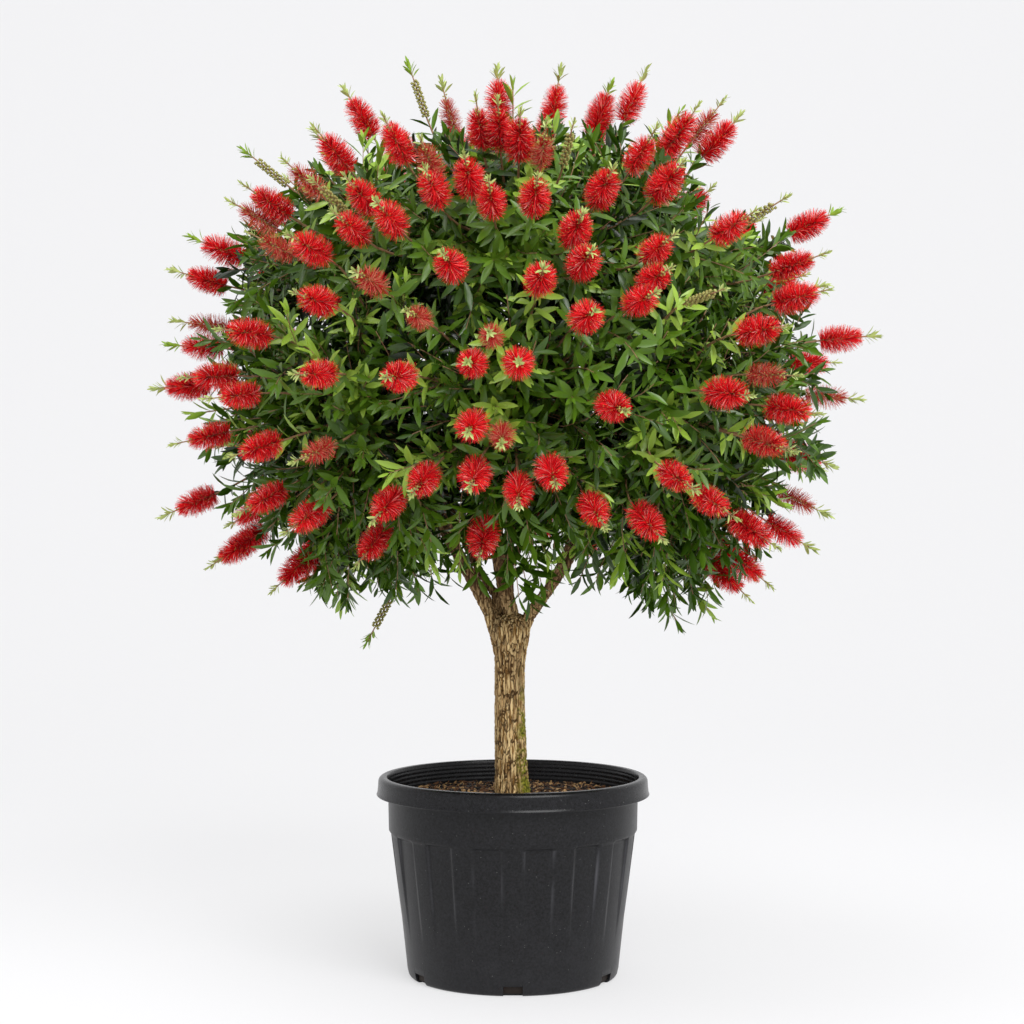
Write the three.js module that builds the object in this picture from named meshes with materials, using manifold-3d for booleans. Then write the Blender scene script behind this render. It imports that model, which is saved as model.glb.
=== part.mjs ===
// A red bottlebrush grown as a standard: a round flowering head on one clear trunk, in a 50 litre nursery pot.
// Units are millimetres, +Z is up, and the origin is the middle of the pot's flat underside. The front is -Y.
//
// The pot is one moulding with a rolled rim, a plain band and a fluted wall. It is full of potting mix, and
// the trunk stands on that. The trunk forks into short arms, each limb is one tapering piece that carries on
// from an arm or leaves another limb, and each limb ends where it enters its own mass of foliage.
import * as THREE from "three";
import { mergeVertices } from "three/addons/utils/BufferGeometryUtils.js";
import Module from "manifold-3d";

const wasm = await Module();
wasm.setup();

// ---- Driving dimensions ----

const GAP = 0.3; // air between neighbouring pieces

const POT = {
  height: 363,
  baseRadius: 192,
  wallRadius: 221, // of the recessed wall, just under the band
  bandFoot: 266, // height at which the band steps in to the fluted wall
  bandStep: 8, // height of that step
  bandRadius: 227.5,
  rimRadius: 250,
  rimDrop: 34, // the rolled rim's skirt
  innerRadius: 230,
  thickness: 4.5,
  flutes: 15,
  ribShare: 0.42, // of a flute's pitch
  fluteFoot: 84, // height at which the ribs have died away into the wall
  footBevel: 9,
};

const RIM = { tuck: 4, draft: 2.5, shoulder: 11, roll: 10, lip: 3 }; // the small steps of the rim's section

const DRAIN = { count: 6, width: 34, height: 18, depth: 27 }; // notches in the foot

const MIX = {
  top: 324, // at the wall
  crown: 332, // round the trunk
  seatRadius: 52, // the flat round the trunk's foot
  shoulder: 140, // radius at which its surface is lumpy
  hummock: 5,
  seed: 11,
};

const TRUNK = {
  base: MIX.crown + GAP,
  fork: 628, // where the arms part
  foot: -0.5, // the centre line's X at the foot, its bow half way up and at the fork
  bow: -9.5,
  head: -4.2,
  girth: 26.6, // least radius
  flare: 5.5, // extra radius at the foot
  flareHeight: 60,
  knuckle: 9, // extra radius at the fork
  knuckleFoot: 560,
  knuckleRise: 80,
  sides: 12,
  steps: 9,
  lobes: 0.035, // how far the stem is from round
};

const CROWN = {
  centre: 1110, // height of the point that every shoot heads away from
  halfWidth: 672,
  rise: 563,
  drop: 455,
  skirt: 48, // how much lower the head hangs at its two sides than at front and back
  upperPower: 2.2, // 2 is an ellipse, more is squarer
  lowerPower: 2.6,
  spaceGap: 2.5, // how far each mass stays inside the planes between it and its neighbours
};

const SHOOT = {
  perMass: 6, // besides the outline's
  seed: 2207,
  jitter: 2.5, // degrees
  spacing: 16, // degrees, the least between two
  aside: 0.15, // these keep this far off the plane of the outline, as a share of their length
  shorter: 0.1, // the shortest one's shortfall, as a share of the reach
  leavesInOutline: 1, // beside each shoot of the outline, where they stand closer
  rootRadius: 5,
  footRadius: 3.4, // at the foot of the flower spike
  tipRadius: 1.8, // of a shoot without one
  bloomShare: 0.85,
  lowestBloom: -52, // degrees
  sway: 0.12, // how far the outline's shoots lean forwards or back
  offWood: 9, // least distance from a leaf to a limb
  tries: 9, // turns round its shoot that a leaf is tried at
};
const GOLDEN_ANGLE = 137.508; // degrees

// A flower spike, as heights along it and radii there, and how far the leafy tip grows on beyond it.
const BRUSH = { length: 84, radius: 26, above: 44, sides: 4, bulge: [[14, 22], [60, 26], [84, 2.5]] };

// The leading shoots that make the outline seen from the front, as angles from +X and reaches, both about the
// crown's centre. The rest of the crown's shoots are worked out.
const OUTLINE = [
  [303, 575], [309, 595], [319, 590], [328, 640], [335, 640], [344, 615], [357, 655], [6, 675], [16, 605],
  [28, 685], [49, 625], [57, 580], [66, 610], [74, 570], [82, 555], [90, 530], [102, 555], [109, 595],
  [120, 615], [130, 575], [141, 640], [158, 640], [166, 655], [182, 670], [202, 700], [213, 650], [226, 560],
  [242, 565],
];

// Each leaf stands for a spray of the real ones, so it is larger than life: beside the shoot, and beyond its
// flower spike.
const LEAF = { length: 150, width: 46, thickness: 4, splay: 46, below: [24, 66], above: [12, 50] };
const TIP_LEAF = { length: 58, width: 20, thickness: 3, splay: 8, sunk: 6 };

// The shaded heart of a mass. Shares are of the crown's reach in the same direction.
const CORE = {
  depth: 0.55, // share at which the heart lies
  radius: 270,
  nearest: 0.3, // least and greatest share
  farthest: 0.78,
  margin: 9, // inside the planes between the masses
  bumps: 0.18,
  hollow: 58, // half angle, in degrees, of the hollow that faces the limb
  leafy: 0.56, // share beyond which leaves stand out of it
  leafEvery: 4, // faces
  sunk: 12, // depth of those leaves' roots
};

const COLOURS = {
  pot: 0x2b2b2d,
  mix: 0x4a3526,
  bark: 0x8a6f4b,
  limb: 0x6b523a,
  leaf: 0x3f7426,
};

// The short arms of the trunk's fork: where each ends, out from the fork and up, and its tilt there from the
// vertical. Bearings run from +X towards +Y, in degrees: 270 is the front.
const ARMS = {
  left: { bearing: 182, out: 43, height: 673, tilt: 27, girth: 13.4 },
  centre: { bearing: 215, out: 8, height: 688, tilt: 17, girth: 13.8 },
  right: { bearing: 352, out: 44, height: 670, tilt: 38, girth: 10.8 },
  rear: { bearing: 98, out: 32, height: 670, tilt: 24, girth: 11.6 },
  left_rear: { bearing: 156, out: 33, height: 697, tilt: 39, girth: 7.9 },
};

const ARM = { sides: 8, steps: 3, swell: 1.5, sunk: 36, sunkShare: 0.25 }; // swell is root over end girth

// The limbs. Each carries on from an arm, or leaves another limb part way along, and ends where its own mass
// of foliage begins: its name, where it starts, its radius there, its mass, and that mass's bearing.
const LIMBS = [
  ["bough_left", { arm: "left" }, 13, "lower_left", 180],
  ["bough_centre", { arm: "centre" }, 13.4, "top", 0],
  ["bough_right", { arm: "right" }, 10.5, "lower_right", 0],
  ["bough_rear", { arm: "rear" }, 11.3, "upper_rear_right", 54],
  ["limb_rear_left", { arm: "left_rear" }, 7.7, "lower_rear_left", 135],
  ["limb_front_left", { from: "bough_left", along: 0.25 }, 7, "lower_front_left", 225],
  ["limb_front", { from: "bough_centre", along: 0.16 }, 7, "lower_front", 270],
  ["limb_front_right", { from: "bough_right", along: 0.12 }, 7, "lower_front_right", 315],
  ["limb_rear_right", { from: "bough_right", along: 0.3 }, 6.5, "lower_rear_right", 45],
  ["limb_rear", { from: "bough_rear", along: 0.1 }, 7, "lower_rear", 90],
  ["limb_upper_front", { from: "bough_centre", along: 0.45 }, 7.5, "upper_front", 270],
  ["limb_upper_right", { from: "bough_right", along: 0.55 }, 7, "upper_right", 342],
  ["limb_upper_rear", { from: "bough_centre", along: 0.3 }, 7.5, "upper_rear_left", 126],
  ["limb_upper_left", { from: "bough_left", along: 0.5 }, 7, "upper_left", 198],
].map(([name, start, girth, mass, bearing]) => {
  const [ring] = mass.split("_");
  return { name, ...start, girth, mass, ring, bearing };
});
const LIMB = { sides: 6, steps: 3, taper: 0.55, spring: 0.4 }; // taper is tip radius over foot radius

// The rings of masses: each mass's elevation seen from the crown's centre, where its limb ends, and the middle
// and spread of its face, all angles in degrees.
const RINGS = {
  lower: { elevation: -14, middle: -22, spread: [21, 35], limbOut: 205, limbHeight: 935 },
  upper: { elevation: 38, middle: 38, spread: [34, 27], limbOut: 120, limbHeight: 1196 },
  top: { elevation: 90, middle: 90, spread: [25, 25], limbOut: 6, limbHeight: 1240 },
};

// ---- Small tools ----

const radians = THREE.MathUtils.degToRad;
const UP = new THREE.Vector3(0, 0, 1);
const CENTRE = new THREE.Vector3(0, 0, CROWN.centre);

// A seeded die: the same numbers from the same seed, each from 0 to 1.
function dice(seed) {
  let state = seed >>> 0;
  return () => {
    state = (state + 0x6d2b79f5) >>> 0;
    let t = Math.imul(state ^ (state >>> 15), 1 | state);
    t = (t + Math.imul(t ^ (t >>> 7), 61 | t)) ^ t;
    return ((t ^ (t >>> 14)) >>> 0) / 4294967296;
  };
}

// A unit vector from a bearing and an elevation, in degrees.
function heading(bearing, elevation) {
  const b = radians(bearing);
  const e = radians(elevation);
  return new THREE.Vector3(Math.cos(b) * Math.cos(e), Math.sin(b) * Math.cos(e), Math.sin(e));
}

// A closed geometry as a solid that can be cut and joined.
function solidOf(geometry) {
  const bare = geometry.clone();
  bare.deleteAttribute("normal");
  bare.deleteAttribute("uv");
  const merged = mergeVertices(bare, 1e-3);
  return new wasm.Manifold(
    new wasm.Mesh({
      numProp: 3,
      vertProperties: new Float32Array(merged.attributes.position.array),
      triVerts: new Uint32Array(merged.index.array),
    }),
  );
}

// A solid as a geometry that a mesh can show, without the hair-thin edges that a join or a cut can leave.
function geometryOf(solid, finest = 0.02) {
  const mesh = solid.simplify(finest).getMesh();
  const geometry = new THREE.BufferGeometry();
  geometry.setAttribute("position", new THREE.BufferAttribute(mesh.vertProperties, 3));
  geometry.setIndex(new THREE.BufferAttribute(mesh.triVerts, 1));
  geometry.computeVertexNormals();
  return geometry;
}

// The largest body of a solid: scraps that a cut leaves loose are dropped.
function largest(solid) {
  return solid.decompose().reduce((a, b) => (b.volume() > a.volume() ? b : a));
}

function part(name, geometry, colour, roughness) {
  const mesh = new THREE.Mesh(
    geometry,
    new THREE.MeshStandardMaterial({ color: colour, roughness, metalness: 0 }),
  );
  mesh.name = name;
  return mesh;
}

// Moves a shape built along +Y, and broad along X, so that it runs along one direction and is broad along
// another.
function place(geometry, from, along, broad) {
  const across = broad.clone().addScaledVector(along, -along.dot(broad)).normalize();
  const basis = new THREE.Matrix4().makeBasis(across, along, across.clone().cross(along));
  return geometry.applyMatrix4(basis.setPosition(from));
}

// A round limb bent along a curve, without twist. radiusAt gives its radius at a share of its length.
function bentLimb(curve, radiusAt, sides, steps, lobes = 0) {
  const frames = [];
  for (let ring = 0; ring <= steps; ring++) {
    const along = curve.getTangent(ring / steps);
    const last = frames[ring - 1] ?? { along: UP, turn: new THREE.Quaternion() };
    const turn = new THREE.Quaternion().setFromUnitVectors(last.along, along).multiply(last.turn);
    frames.push({ along, turn, centre: curve.getPoint(ring / steps), radius: radiusAt(ring / steps) });
  }
  const geometry = new THREE.CylinderGeometry(1, 1, 1, sides, steps);
  const position = geometry.attributes.position;
  for (let i = 0; i < position.count; i++) {
    const { turn, centre, radius } = frames[Math.round((position.getY(i) + 0.5) * steps)];
    const angle = Math.atan2(position.getX(i), position.getZ(i));
    const round = radius * (1 + lobes * Math.cos(3 * angle) + 0.6 * lobes * Math.cos(5 * angle));
    const vertex = new THREE.Vector3(position.getX(i), -position.getZ(i), 0).multiplyScalar(round);
    vertex.applyQuaternion(turn).add(centre);
    position.setXYZ(i, vertex.x, vertex.y, vertex.z);
  }
  return geometry;
}

// ---- The pot and the potting mix ----

// The pot's wall radius at a height. The recesses follow the straight taper; the ribs stand out to the band
// and die away towards the foot.
function wallRadius(height, onRib) {
  const taper = (POT.wallRadius - POT.baseRadius) / POT.bandFoot;
  const recessed = POT.baseRadius + taper * height;
  const rise = THREE.MathUtils.clamp((height - POT.fluteFoot) / (POT.bandFoot - POT.fluteFoot), 0, 1);
  return recessed + (onRib ? (POT.bandRadius - POT.wallRadius) * rise ** 0.7 : 0);
}

// The pot's section as [radius, height]: from the middle of the underside out, up, over the rim and down
// inside.
function potSection(onRib) {
  const p = POT;
  const skirtFoot = p.height - p.rimDrop;
  return [
    [0, 0],
    [p.baseRadius - p.footBevel, 0],
    [p.baseRadius, p.footBevel],
    [wallRadius(p.fluteFoot, onRib), p.fluteFoot],
    [wallRadius(p.bandFoot - p.bandStep, onRib), p.bandFoot - p.bandStep],
    [p.bandRadius, p.bandFoot],
    [p.bandRadius + RIM.draft, skirtFoot + RIM.tuck],
    [p.rimRadius - RIM.draft, skirtFoot + RIM.tuck],
    [p.rimRadius, skirtFoot],
    [p.rimRadius - RIM.lip, p.height - RIM.roll],
    [p.rimRadius - RIM.shoulder, p.height],
    [p.innerRadius, p.height - RIM.lip],
    [p.baseRadius - p.thickness, p.thickness],
    [0, p.thickness],
  ];
}

// The bearing of each of the pot's columns: four to a flute, at the edges of its rib and its recess.
function columnAngle(column) {
  const pitch = (2 * Math.PI) / POT.flutes;
  const rib = POT.ribShare * pitch;
  const ramp = 0.07 * pitch;
  const edge = [0, rib, rib + ramp, pitch - ramp][column % 4];
  return Math.floor(column / 4) * pitch + edge - rib / 2 + pitch / 2 - Math.PI / 2;
}

// A lathe turn of a section, with its columns moved to the pot's. pointAt gives [radius, height] by row and
// column.
function turned(rows, pointAt) {
  const columns = 4 * POT.flutes;
  const blank = Array.from({ length: rows }, () => new THREE.Vector2(1, 0));
  const geometry = new THREE.LatheGeometry(blank, columns);
  const position = geometry.attributes.position;
  for (let i = 0; i < position.count; i++) {
    const column = Math.floor(i / rows) % columns;
    const angle = columnAngle(column);
    const [radius, height] = pointAt(i % rows, column);
    position.setXYZ(i, radius * Math.cos(angle), radius * Math.sin(angle), height);
  }
  return geometry;
}

// The pot with its drainage notches cut through the foot of the wall. One notch faces the front.
function pot() {
  const rib = potSection(true);
  const recess = potSection(false);
  let solid = solidOf(turned(rib.length, (row, column) => (column % 4 < 2 ? rib : recess)[row]));
  for (let i = 0; i < DRAIN.count; i++) {
    const notch = new THREE.BoxGeometry(DRAIN.depth, DRAIN.width, 2 * DRAIN.height);
    notch.translate(POT.baseRadius, 0, 0).rotateZ((i * 2 * Math.PI) / DRAIN.count - Math.PI / 2);
    solid = solid.subtract(solidOf(notch));
  }
  return geometryOf(solid);
}

// The potting mix: it fills the pot to a hand's breadth below the rim, heaped a little round the trunk.
function pottingMix() {
  const roll = dice(MIX.seed);
  const floor = POT.thickness + GAP;
  const slope = (POT.innerRadius - POT.baseRadius + POT.thickness) / (POT.height - RIM.lip - POT.thickness);
  const wallAt = (height) => POT.baseRadius - POT.thickness + slope * (height - POT.thickness) - 2 * GAP;
  const section = [
    [0, floor],
    [wallAt(floor), floor],
    [wallAt(MIX.top), MIX.top],
    [MIX.shoulder, (MIX.top + MIX.crown) / 2],
    [MIX.seatRadius, MIX.crown],
    [0, MIX.crown],
  ];
  const hummocks = Array.from({ length: 4 * POT.flutes }, () => MIX.hummock * (2 * roll() - 1));
  return turned(section.length, (row, column) => {
    const [radius, height] = section[row];
    return row === 3 ? [radius + 4 * hummocks[column], height + hummocks[column]] : [radius, height];
  });
}

// ---- The trunk and the limbs ----

const fork = new THREE.Vector3(TRUNK.head, 0, TRUNK.fork);

// The stem from its flat foot to the fork, with the short arms that the boughs carry on from.
function trunk() {
  const sunk = new THREE.Vector3(TRUNK.foot, 0, TRUNK.base - 10 * GAP);
  const stem = new THREE.QuadraticBezierCurve3(sunk, sunk.clone().lerp(fork, 0.5).setX(TRUNK.bow), fork);
  const radiusAt = (share) => {
    const height = stem.getPoint(share).z;
    const flare = TRUNK.flare * Math.exp((TRUNK.base - height) / TRUNK.flareHeight);
    const knuckleTop = TRUNK.knuckleFoot + TRUNK.knuckleRise;
    const knuckle = THREE.MathUtils.smoothstep(height, TRUNK.knuckleFoot, knuckleTop);
    return TRUNK.girth + flare + TRUNK.knuckle * knuckle;
  };
  let solid = solidOf(bentLimb(stem, radiusAt, TRUNK.sides, TRUNK.steps, TRUNK.lobes));
  solid = solid.trimByPlane([0, 0, 1], TRUNK.base);
  for (const [name, { girth }] of Object.entries(ARMS)) {
    const taper = (share) => THREE.MathUtils.lerp(ARM.swell * girth, girth, share);
    solid = solid.add(solidOf(bentLimb(armCurve(name), taper, ARM.sides, ARM.steps)));
  }
  return geometryOf(solid);
}

function armCurve(name) {
  const { bearing, out, height, tilt } = ARMS[name];
  const end = heading(bearing, 0).multiplyScalar(out).add(fork).setZ(height);
  const root = fork.clone().lerp(end, ARM.sunkShare).setZ(fork.z - ARM.sunk);
  const elbow = end.clone().addScaledVector(heading(bearing, 90 - tilt), -0.5 * root.distanceTo(end));
  return new THREE.QuadraticBezierCurve3(root, elbow, end);
}

// Every limb's centre line, with its radius along it.
const limbs = new Map();
for (const limb of LIMBS) {
  const ring = RINGS[limb.ring];
  const end = heading(limb.bearing, 0).multiplyScalar(ring.limbOut).setZ(ring.limbHeight);
  const parent = limb.arm ? armCurve(limb.arm) : limbs.get(limb.from).curve;
  const leaves = limb.arm ? 1 : limb.along;
  const spring = parent.getTangent(leaves);
  const start = parent.getPoint(leaves);
  if (limb.arm) start.addScaledVector(spring, GAP);
  const away = end.clone().sub(start);
  if (!limb.arm) spring.add(away.clone().normalize()).normalize();
  const bend = start.clone().addScaledVector(spring, LIMB.spring * away.length());
  const curve = new THREE.QuadraticBezierCurve3(start, bend, end);
  const radiusAt = (share) => limb.girth * THREE.MathUtils.lerp(1, LIMB.taper, share);
  limbs.set(limb.name, { ...limb, curve, radiusAt });
}

function limbSolid(limb, extra = 0) {
  return solidOf(bentLimb(limb.curve, (share) => limb.radiusAt(share) + extra, LIMB.sides, LIMB.steps));
}

// A limb that leaves another is cut to the other's surface, a hair's breadth clear of it.
function limbGeometry(limb) {
  const solid = limbSolid(limb);
  return geometryOf(limb.from ? largest(solid.subtract(limbSolid(limbs.get(limb.from), GAP))) : solid);
}

// True where a point is well clear of every limb.
const wood = [...limbs.values()].flatMap((limb) => {
  const points = limb.curve.getPoints(24);
  return points.map((point, i) => ({ point, radius: limb.radiusAt(i / 24) }));
});
function clearOfWood(point) {
  return wood.every((bead) => bead.point.distanceTo(point) > bead.radius + SHOOT.offWood);
}

// ---- The crown ----

// How far the crown reaches from its centre in a direction.
function reach(direction) {
  const out = Math.hypot(direction.x, direction.y);
  const bearing = Math.atan2(direction.y, direction.x);
  const power = direction.z > 0 ? CROWN.upperPower : CROWN.lowerPower;
  const half = direction.z > 0 ? CROWN.rise : CROWN.drop + CROWN.skirt * Math.cos(2 * bearing);
  return ((out / CROWN.halfWidth) ** power + (Math.abs(direction.z) / half) ** power) ** (-1 / power);
}

// The masses. Planes through the crown's centre part them, half way between their headings.
const masses = LIMBS.map((limb) => {
  const towards = heading(limb.bearing, RINGS[limb.ring].elevation);
  return { name: `foliage_${limb.mass}`, limb: limbs.get(limb.name), towards, shoots: [] };
});
for (const mass of masses) {
  const others = masses.filter((other) => other !== mass);
  mass.planes = others.map((other) => mass.towards.clone().sub(other.towards).normalize());
}

// How deep a point lies inside the planes of a mass's space.
function depthInside(mass, point) {
  const from = point.clone().sub(CENTRE);
  return Math.min(...mass.planes.map((normal) => normal.dot(from)));
}

// Adds a leading shoot to the mass whose heading is nearest, turned in towards it until a flower spike has
// room.
function addShoot(direction, length, leaves, roll) {
  const mass = masses.reduce((a, b) => (b.towards.dot(direction) > a.towards.dot(direction) ? b : a));
  const at = (short) => direction.clone().multiplyScalar(length - short).add(CENTRE);
  const elevation = THREE.MathUtils.radToDeg(Math.asin(direction.z));
  const blooms = elevation > SHOOT.lowestBloom && roll() < SHOOT.bloomShare;
  while (depthInside(mass, at(BRUSH.length + BRUSH.above)) < BRUSH.radius + CROWN.spaceGap) {
    direction.lerp(mass.towards, 0.03).normalize();
  }
  const foot = at(BRUSH.length + BRUSH.above);
  mass.shoots.push({ direction, foot, turn: 2 * Math.PI * roll(), blooms, leaves, roll });
}

OUTLINE.forEach(([angle, length], i) => {
  const roll = dice(SHOOT.seed + 1000 + i);
  const aside = new THREE.Vector3(0, SHOOT.sway * (roll() - 0.5), 0);
  addShoot(heading(0, angle).add(aside).normalize(), length, SHOOT.leavesInOutline, roll);
});

// The other shoots of each mass are spread evenly over its face, by the golden angle and each a little astray.
masses.forEach((mass, m) => {
  const { middle, spread } = RINGS[mass.limb.ring];
  const face = heading(mass.limb.bearing, middle);
  const across = heading(mass.limb.bearing + 90, 0);
  const up = face.clone().cross(across);
  for (let i = 0; i < SHOOT.perMass; i++) {
    const roll = dice(SHOOT.seed + 100 * m + i);
    const off = Math.sqrt((i + 0.35) / SHOOT.perMass);
    const turn = radians(GOLDEN_ANGLE * i + 60 * m);
    const astray = () => Math.tan(radians(SHOOT.jitter)) * (2 * roll() - 1);
    const direction = face.clone();
    direction.addScaledVector(across, off * Math.cos(turn) * Math.tan(radians(spread[0])) + astray());
    direction.addScaledVector(up, off * Math.sin(turn) * Math.tan(radians(spread[1])) + astray());
    direction.normalize();
    const near = (shoot) => shoot.direction.angleTo(direction) < radians(SHOOT.spacing);
    const length = (1 - SHOOT.shorter * roll()) * reach(direction);
    const seenEdgeOn = Math.abs(direction.y) < SHOOT.aside;
    if (!seenEdgeOn && !mass.shoots.some(near)) addShoot(direction, length, LEAF.below.length, roll);
  }
});

// A pointed leaf along +Y, broad along X: four faces, folded along the midrib. Its root is sunk in.
function leafBlade({ length, width, thickness }) {
  const across = width / Math.SQRT2 / 2;
  const blade = new THREE.TetrahedronGeometry(Math.sqrt(3)).rotateZ(Math.PI / 4);
  blade.scale(across, length / Math.SQRT2 / 2, thickness / 2);
  return blade.translate(0, 0.49 * length, -thickness / 2);
}

// A leaf that stands off a shoot from some point, turned round the shoot until it has room, or null.
function leafBeside(mass, shoot, root, kind) {
  for (let attempt = 0; attempt < SHOOT.tries; attempt++) {
    shoot.turn += radians(GOLDEN_ANGLE);
    const turn = shoot.turn;
    const splay = radians(kind.splay * (0.8 + 0.4 * shoot.roll()));
    const side = new THREE.Vector3(Math.cos(turn), Math.sin(turn), 0);
    side.applyQuaternion(new THREE.Quaternion().setFromUnitVectors(UP, shoot.direction));
    const along = shoot.direction.clone().multiplyScalar(Math.cos(splay));
    along.addScaledVector(side, Math.sin(splay));
    const blade = place(leafBlade(kind), root, along, side.clone().cross(along));
    const roomy = (point) => depthInside(mass, point) > CROWN.spaceGap && clearOfWood(point);
    if (cornersOf(blade).every(roomy)) return blade;
  }
  return null;
}

function cornersOf(geometry) {
  const position = geometry.attributes.position;
  const corner = (_, i) => new THREE.Vector3().fromBufferAttribute(position, i);
  return Array.from({ length: position.count }, corner);
}

// One shoot: a twig from the heart of the mass, which swells into a flower spike or runs on thin, and its
// leaves.
function shootSolids(mass, heart, shoot) {
  const along = (distance) => shoot.foot.clone().addScaledVector(shoot.direction, distance);
  const swell = shoot.blooms ? BRUSH.bulge : [[BRUSH.length, SHOOT.tipRadius]];
  const rings = [[heart, SHOOT.rootRadius], [along(0), SHOOT.footRadius]];
  rings.push(...swell.map(([up, radius]) => [along(up), radius]));
  const line = new THREE.CatmullRomCurve3(rings.map(([point]) => point));
  const spans = rings.length - 1;
  const radiusAt = (share) => rings[Math.round(share * spans)][1];
  const twig = bentLimb(line, radiusAt, shoot.blooms ? BRUSH.sides : 3, spans);
  const stretch = heart.distanceTo(shoot.foot);
  const below = (distance) => line.getPoint(Math.max(0.3, 1 - distance / stretch) / spans);
  const leaves = [
    leafBeside(mass, shoot, along(BRUSH.length - TIP_LEAF.sunk), TIP_LEAF),
    ...LEAF.below.slice(0, shoot.leaves).map((distance) => leafBeside(mass, shoot, below(distance), LEAF)),
    ...(shoot.blooms ? [] : LEAF.above.map((distance) => leafBeside(mass, shoot, along(distance), LEAF))),
  ];
  return [twig, ...leaves.filter(Boolean)].map(solidOf);
}

// Leaves that stand out of the core, rooted in the middle of every few of its outer faces.
function coverLeaves(mass, geometry) {
  const roll = dice(SHOOT.seed + mass.shoots.length);
  const corners = cornersOf(geometry.toNonIndexed());
  const outer = [];
  for (let i = 0; i < corners.length; i += 3) {
    const middle = corners[i].clone().add(corners[i + 1]).add(corners[i + 2]).divideScalar(3).sub(CENTRE);
    const direction = middle.clone().normalize();
    const leafy = middle.length() > CORE.leafy * reach(direction);
    if (leafy) outer.push({ middle, direction, turn: 2 * Math.PI * roll(), roll });
  }
  const leaves = outer.filter((_, i) => i % CORE.leafEvery === 0).map((face) => {
    const root = face.middle.addScaledVector(face.direction, -CORE.sunk).add(CENTRE);
    return leafBeside(mass, face, root, LEAF);
  });
  return leaves.filter(Boolean).map(solidOf);
}

// The shaded heart of a dense mass: a lumpy ball that keeps inside the mass's space, and is hollowed towards
// its limb.
function core(mass, heart) {
  const roll = dice(SHOOT.seed - mass.shoots.length);
  const limbward = mass.limb.curve.getPoint(1).sub(heart);
  const ball = new THREE.IcosahedronGeometry(1, 1);
  ball.deleteAttribute("normal");
  ball.deleteAttribute("uv");
  const merged = mergeVertices(ball, 1e-3);
  const position = merged.attributes.position;
  for (let i = 0; i < position.count; i++) {
    const out = new THREE.Vector3().fromBufferAttribute(position, i);
    const vertexAt = (radius) => heart.clone().addScaledVector(out, radius);
    const roomy = (radius) => {
      const away = vertexAt(radius).sub(CENTRE);
      const share = away.length() / reach(away.clone().normalize());
      const within = share > CORE.nearest && share < CORE.farthest;
      return within && depthInside(mass, vertexAt(radius)) > CORE.margin;
    };
    let radius = out.angleTo(limbward) < radians(CORE.hollow) ? 0.5 * limbward.length() : CORE.radius;
    while (!roomy(radius)) radius -= 4;
    const vertex = vertexAt(radius * (1 - CORE.bumps * roll()));
    position.setXYZ(i, vertex.x, vertex.y, vertex.z);
  }
  return merged;
}

// A mass of foliage: a stem that carries on from its limb, the core, and the shoots, all in one body.
function foliage(mass) {
  const { curve, radiusAt } = mass.limb;
  const heart = mass.towards.clone().multiplyScalar(CORE.depth * reach(mass.towards)).add(CENTRE);
  const tangent = curve.getTangent(1);
  const foot = curve.getPoint(1).addScaledVector(tangent, GAP);
  const bend = foot.clone().addScaledVector(tangent, LIMB.spring * foot.distanceTo(heart));
  const stem = bentLimb(new THREE.QuadraticBezierCurve3(foot, bend, heart), () => radiusAt(1), LIMB.sides, 2);
  const shoots = mass.shoots.flatMap((shoot) => shootSolids(mass, heart, shoot));
  const ball = core(mass, heart);
  const solids = [solidOf(stem), solidOf(ball), ...coverLeaves(mass, ball), ...shoots];
  return geometryOf(largest(wasm.Manifold.union(solids)), 0.1);
}

// ---- The plant ----

const plant = new THREE.Group();
plant.add(part("pot", pot(), COLOURS.pot, 0.55));
plant.add(part("potting_mix", pottingMix(), COLOURS.mix, 1));
plant.add(part("trunk", trunk(), COLOURS.bark, 0.9));
for (const limb of limbs.values()) plant.add(part(limb.name, limbGeometry(limb), COLOURS.limb, 0.9));
for (const mass of masses) plant.add(part(mass.name, foliage(mass), COLOURS.leaf, 0.8));

export default plant;
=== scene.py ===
# %% [markdown]
# # A red bottlebrush in a nursery pot
#
# The plant is a shrub grown as a standard: one clear trunk, a fork, and a round head of narrow leaves and
# red brush-like flowers. It stands in a black plastic pot full of bark mix. The solid model gives each
# piece its place and size. This script makes what the eye sees: bark, leaves, flowers, plastic and mix.
#
# A head like this holds tens of thousands of leaves. Placing them by hand is out of the question, and
# particles don't export, so a seeded rule works out every twig, leaf and flower and writes them into joined
# meshes.

# %% Load the frame
import math

import bpy
import numpy as np
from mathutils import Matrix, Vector, noise


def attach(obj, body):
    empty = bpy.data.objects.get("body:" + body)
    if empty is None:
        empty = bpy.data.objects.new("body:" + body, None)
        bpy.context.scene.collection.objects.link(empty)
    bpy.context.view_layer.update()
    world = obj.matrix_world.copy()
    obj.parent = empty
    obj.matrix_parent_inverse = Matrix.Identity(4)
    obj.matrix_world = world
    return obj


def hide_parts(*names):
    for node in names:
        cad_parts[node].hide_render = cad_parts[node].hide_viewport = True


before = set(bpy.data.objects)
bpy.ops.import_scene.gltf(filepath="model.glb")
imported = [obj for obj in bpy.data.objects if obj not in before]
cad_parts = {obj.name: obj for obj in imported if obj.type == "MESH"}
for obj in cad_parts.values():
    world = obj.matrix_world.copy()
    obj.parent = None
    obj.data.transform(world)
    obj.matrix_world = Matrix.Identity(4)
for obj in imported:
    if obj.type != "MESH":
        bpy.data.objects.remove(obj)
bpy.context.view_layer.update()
NODES = sorted(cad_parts)
MASSES = [name for name in NODES if name.startswith("foliage_")]
LIMBS = [name for name in NODES if name.startswith(("bough_", "limb_"))]
MM = 0.001

# %% [markdown]
# ## The camera
#
# A camera low and far away keeps upright lines upright, and a long lens keeps the near and far side of the
# pot alike. It stands level, at the height of the trunk's fork, and its frame is shifted down a little
# instead of being tilted, as with a view camera.

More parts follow.
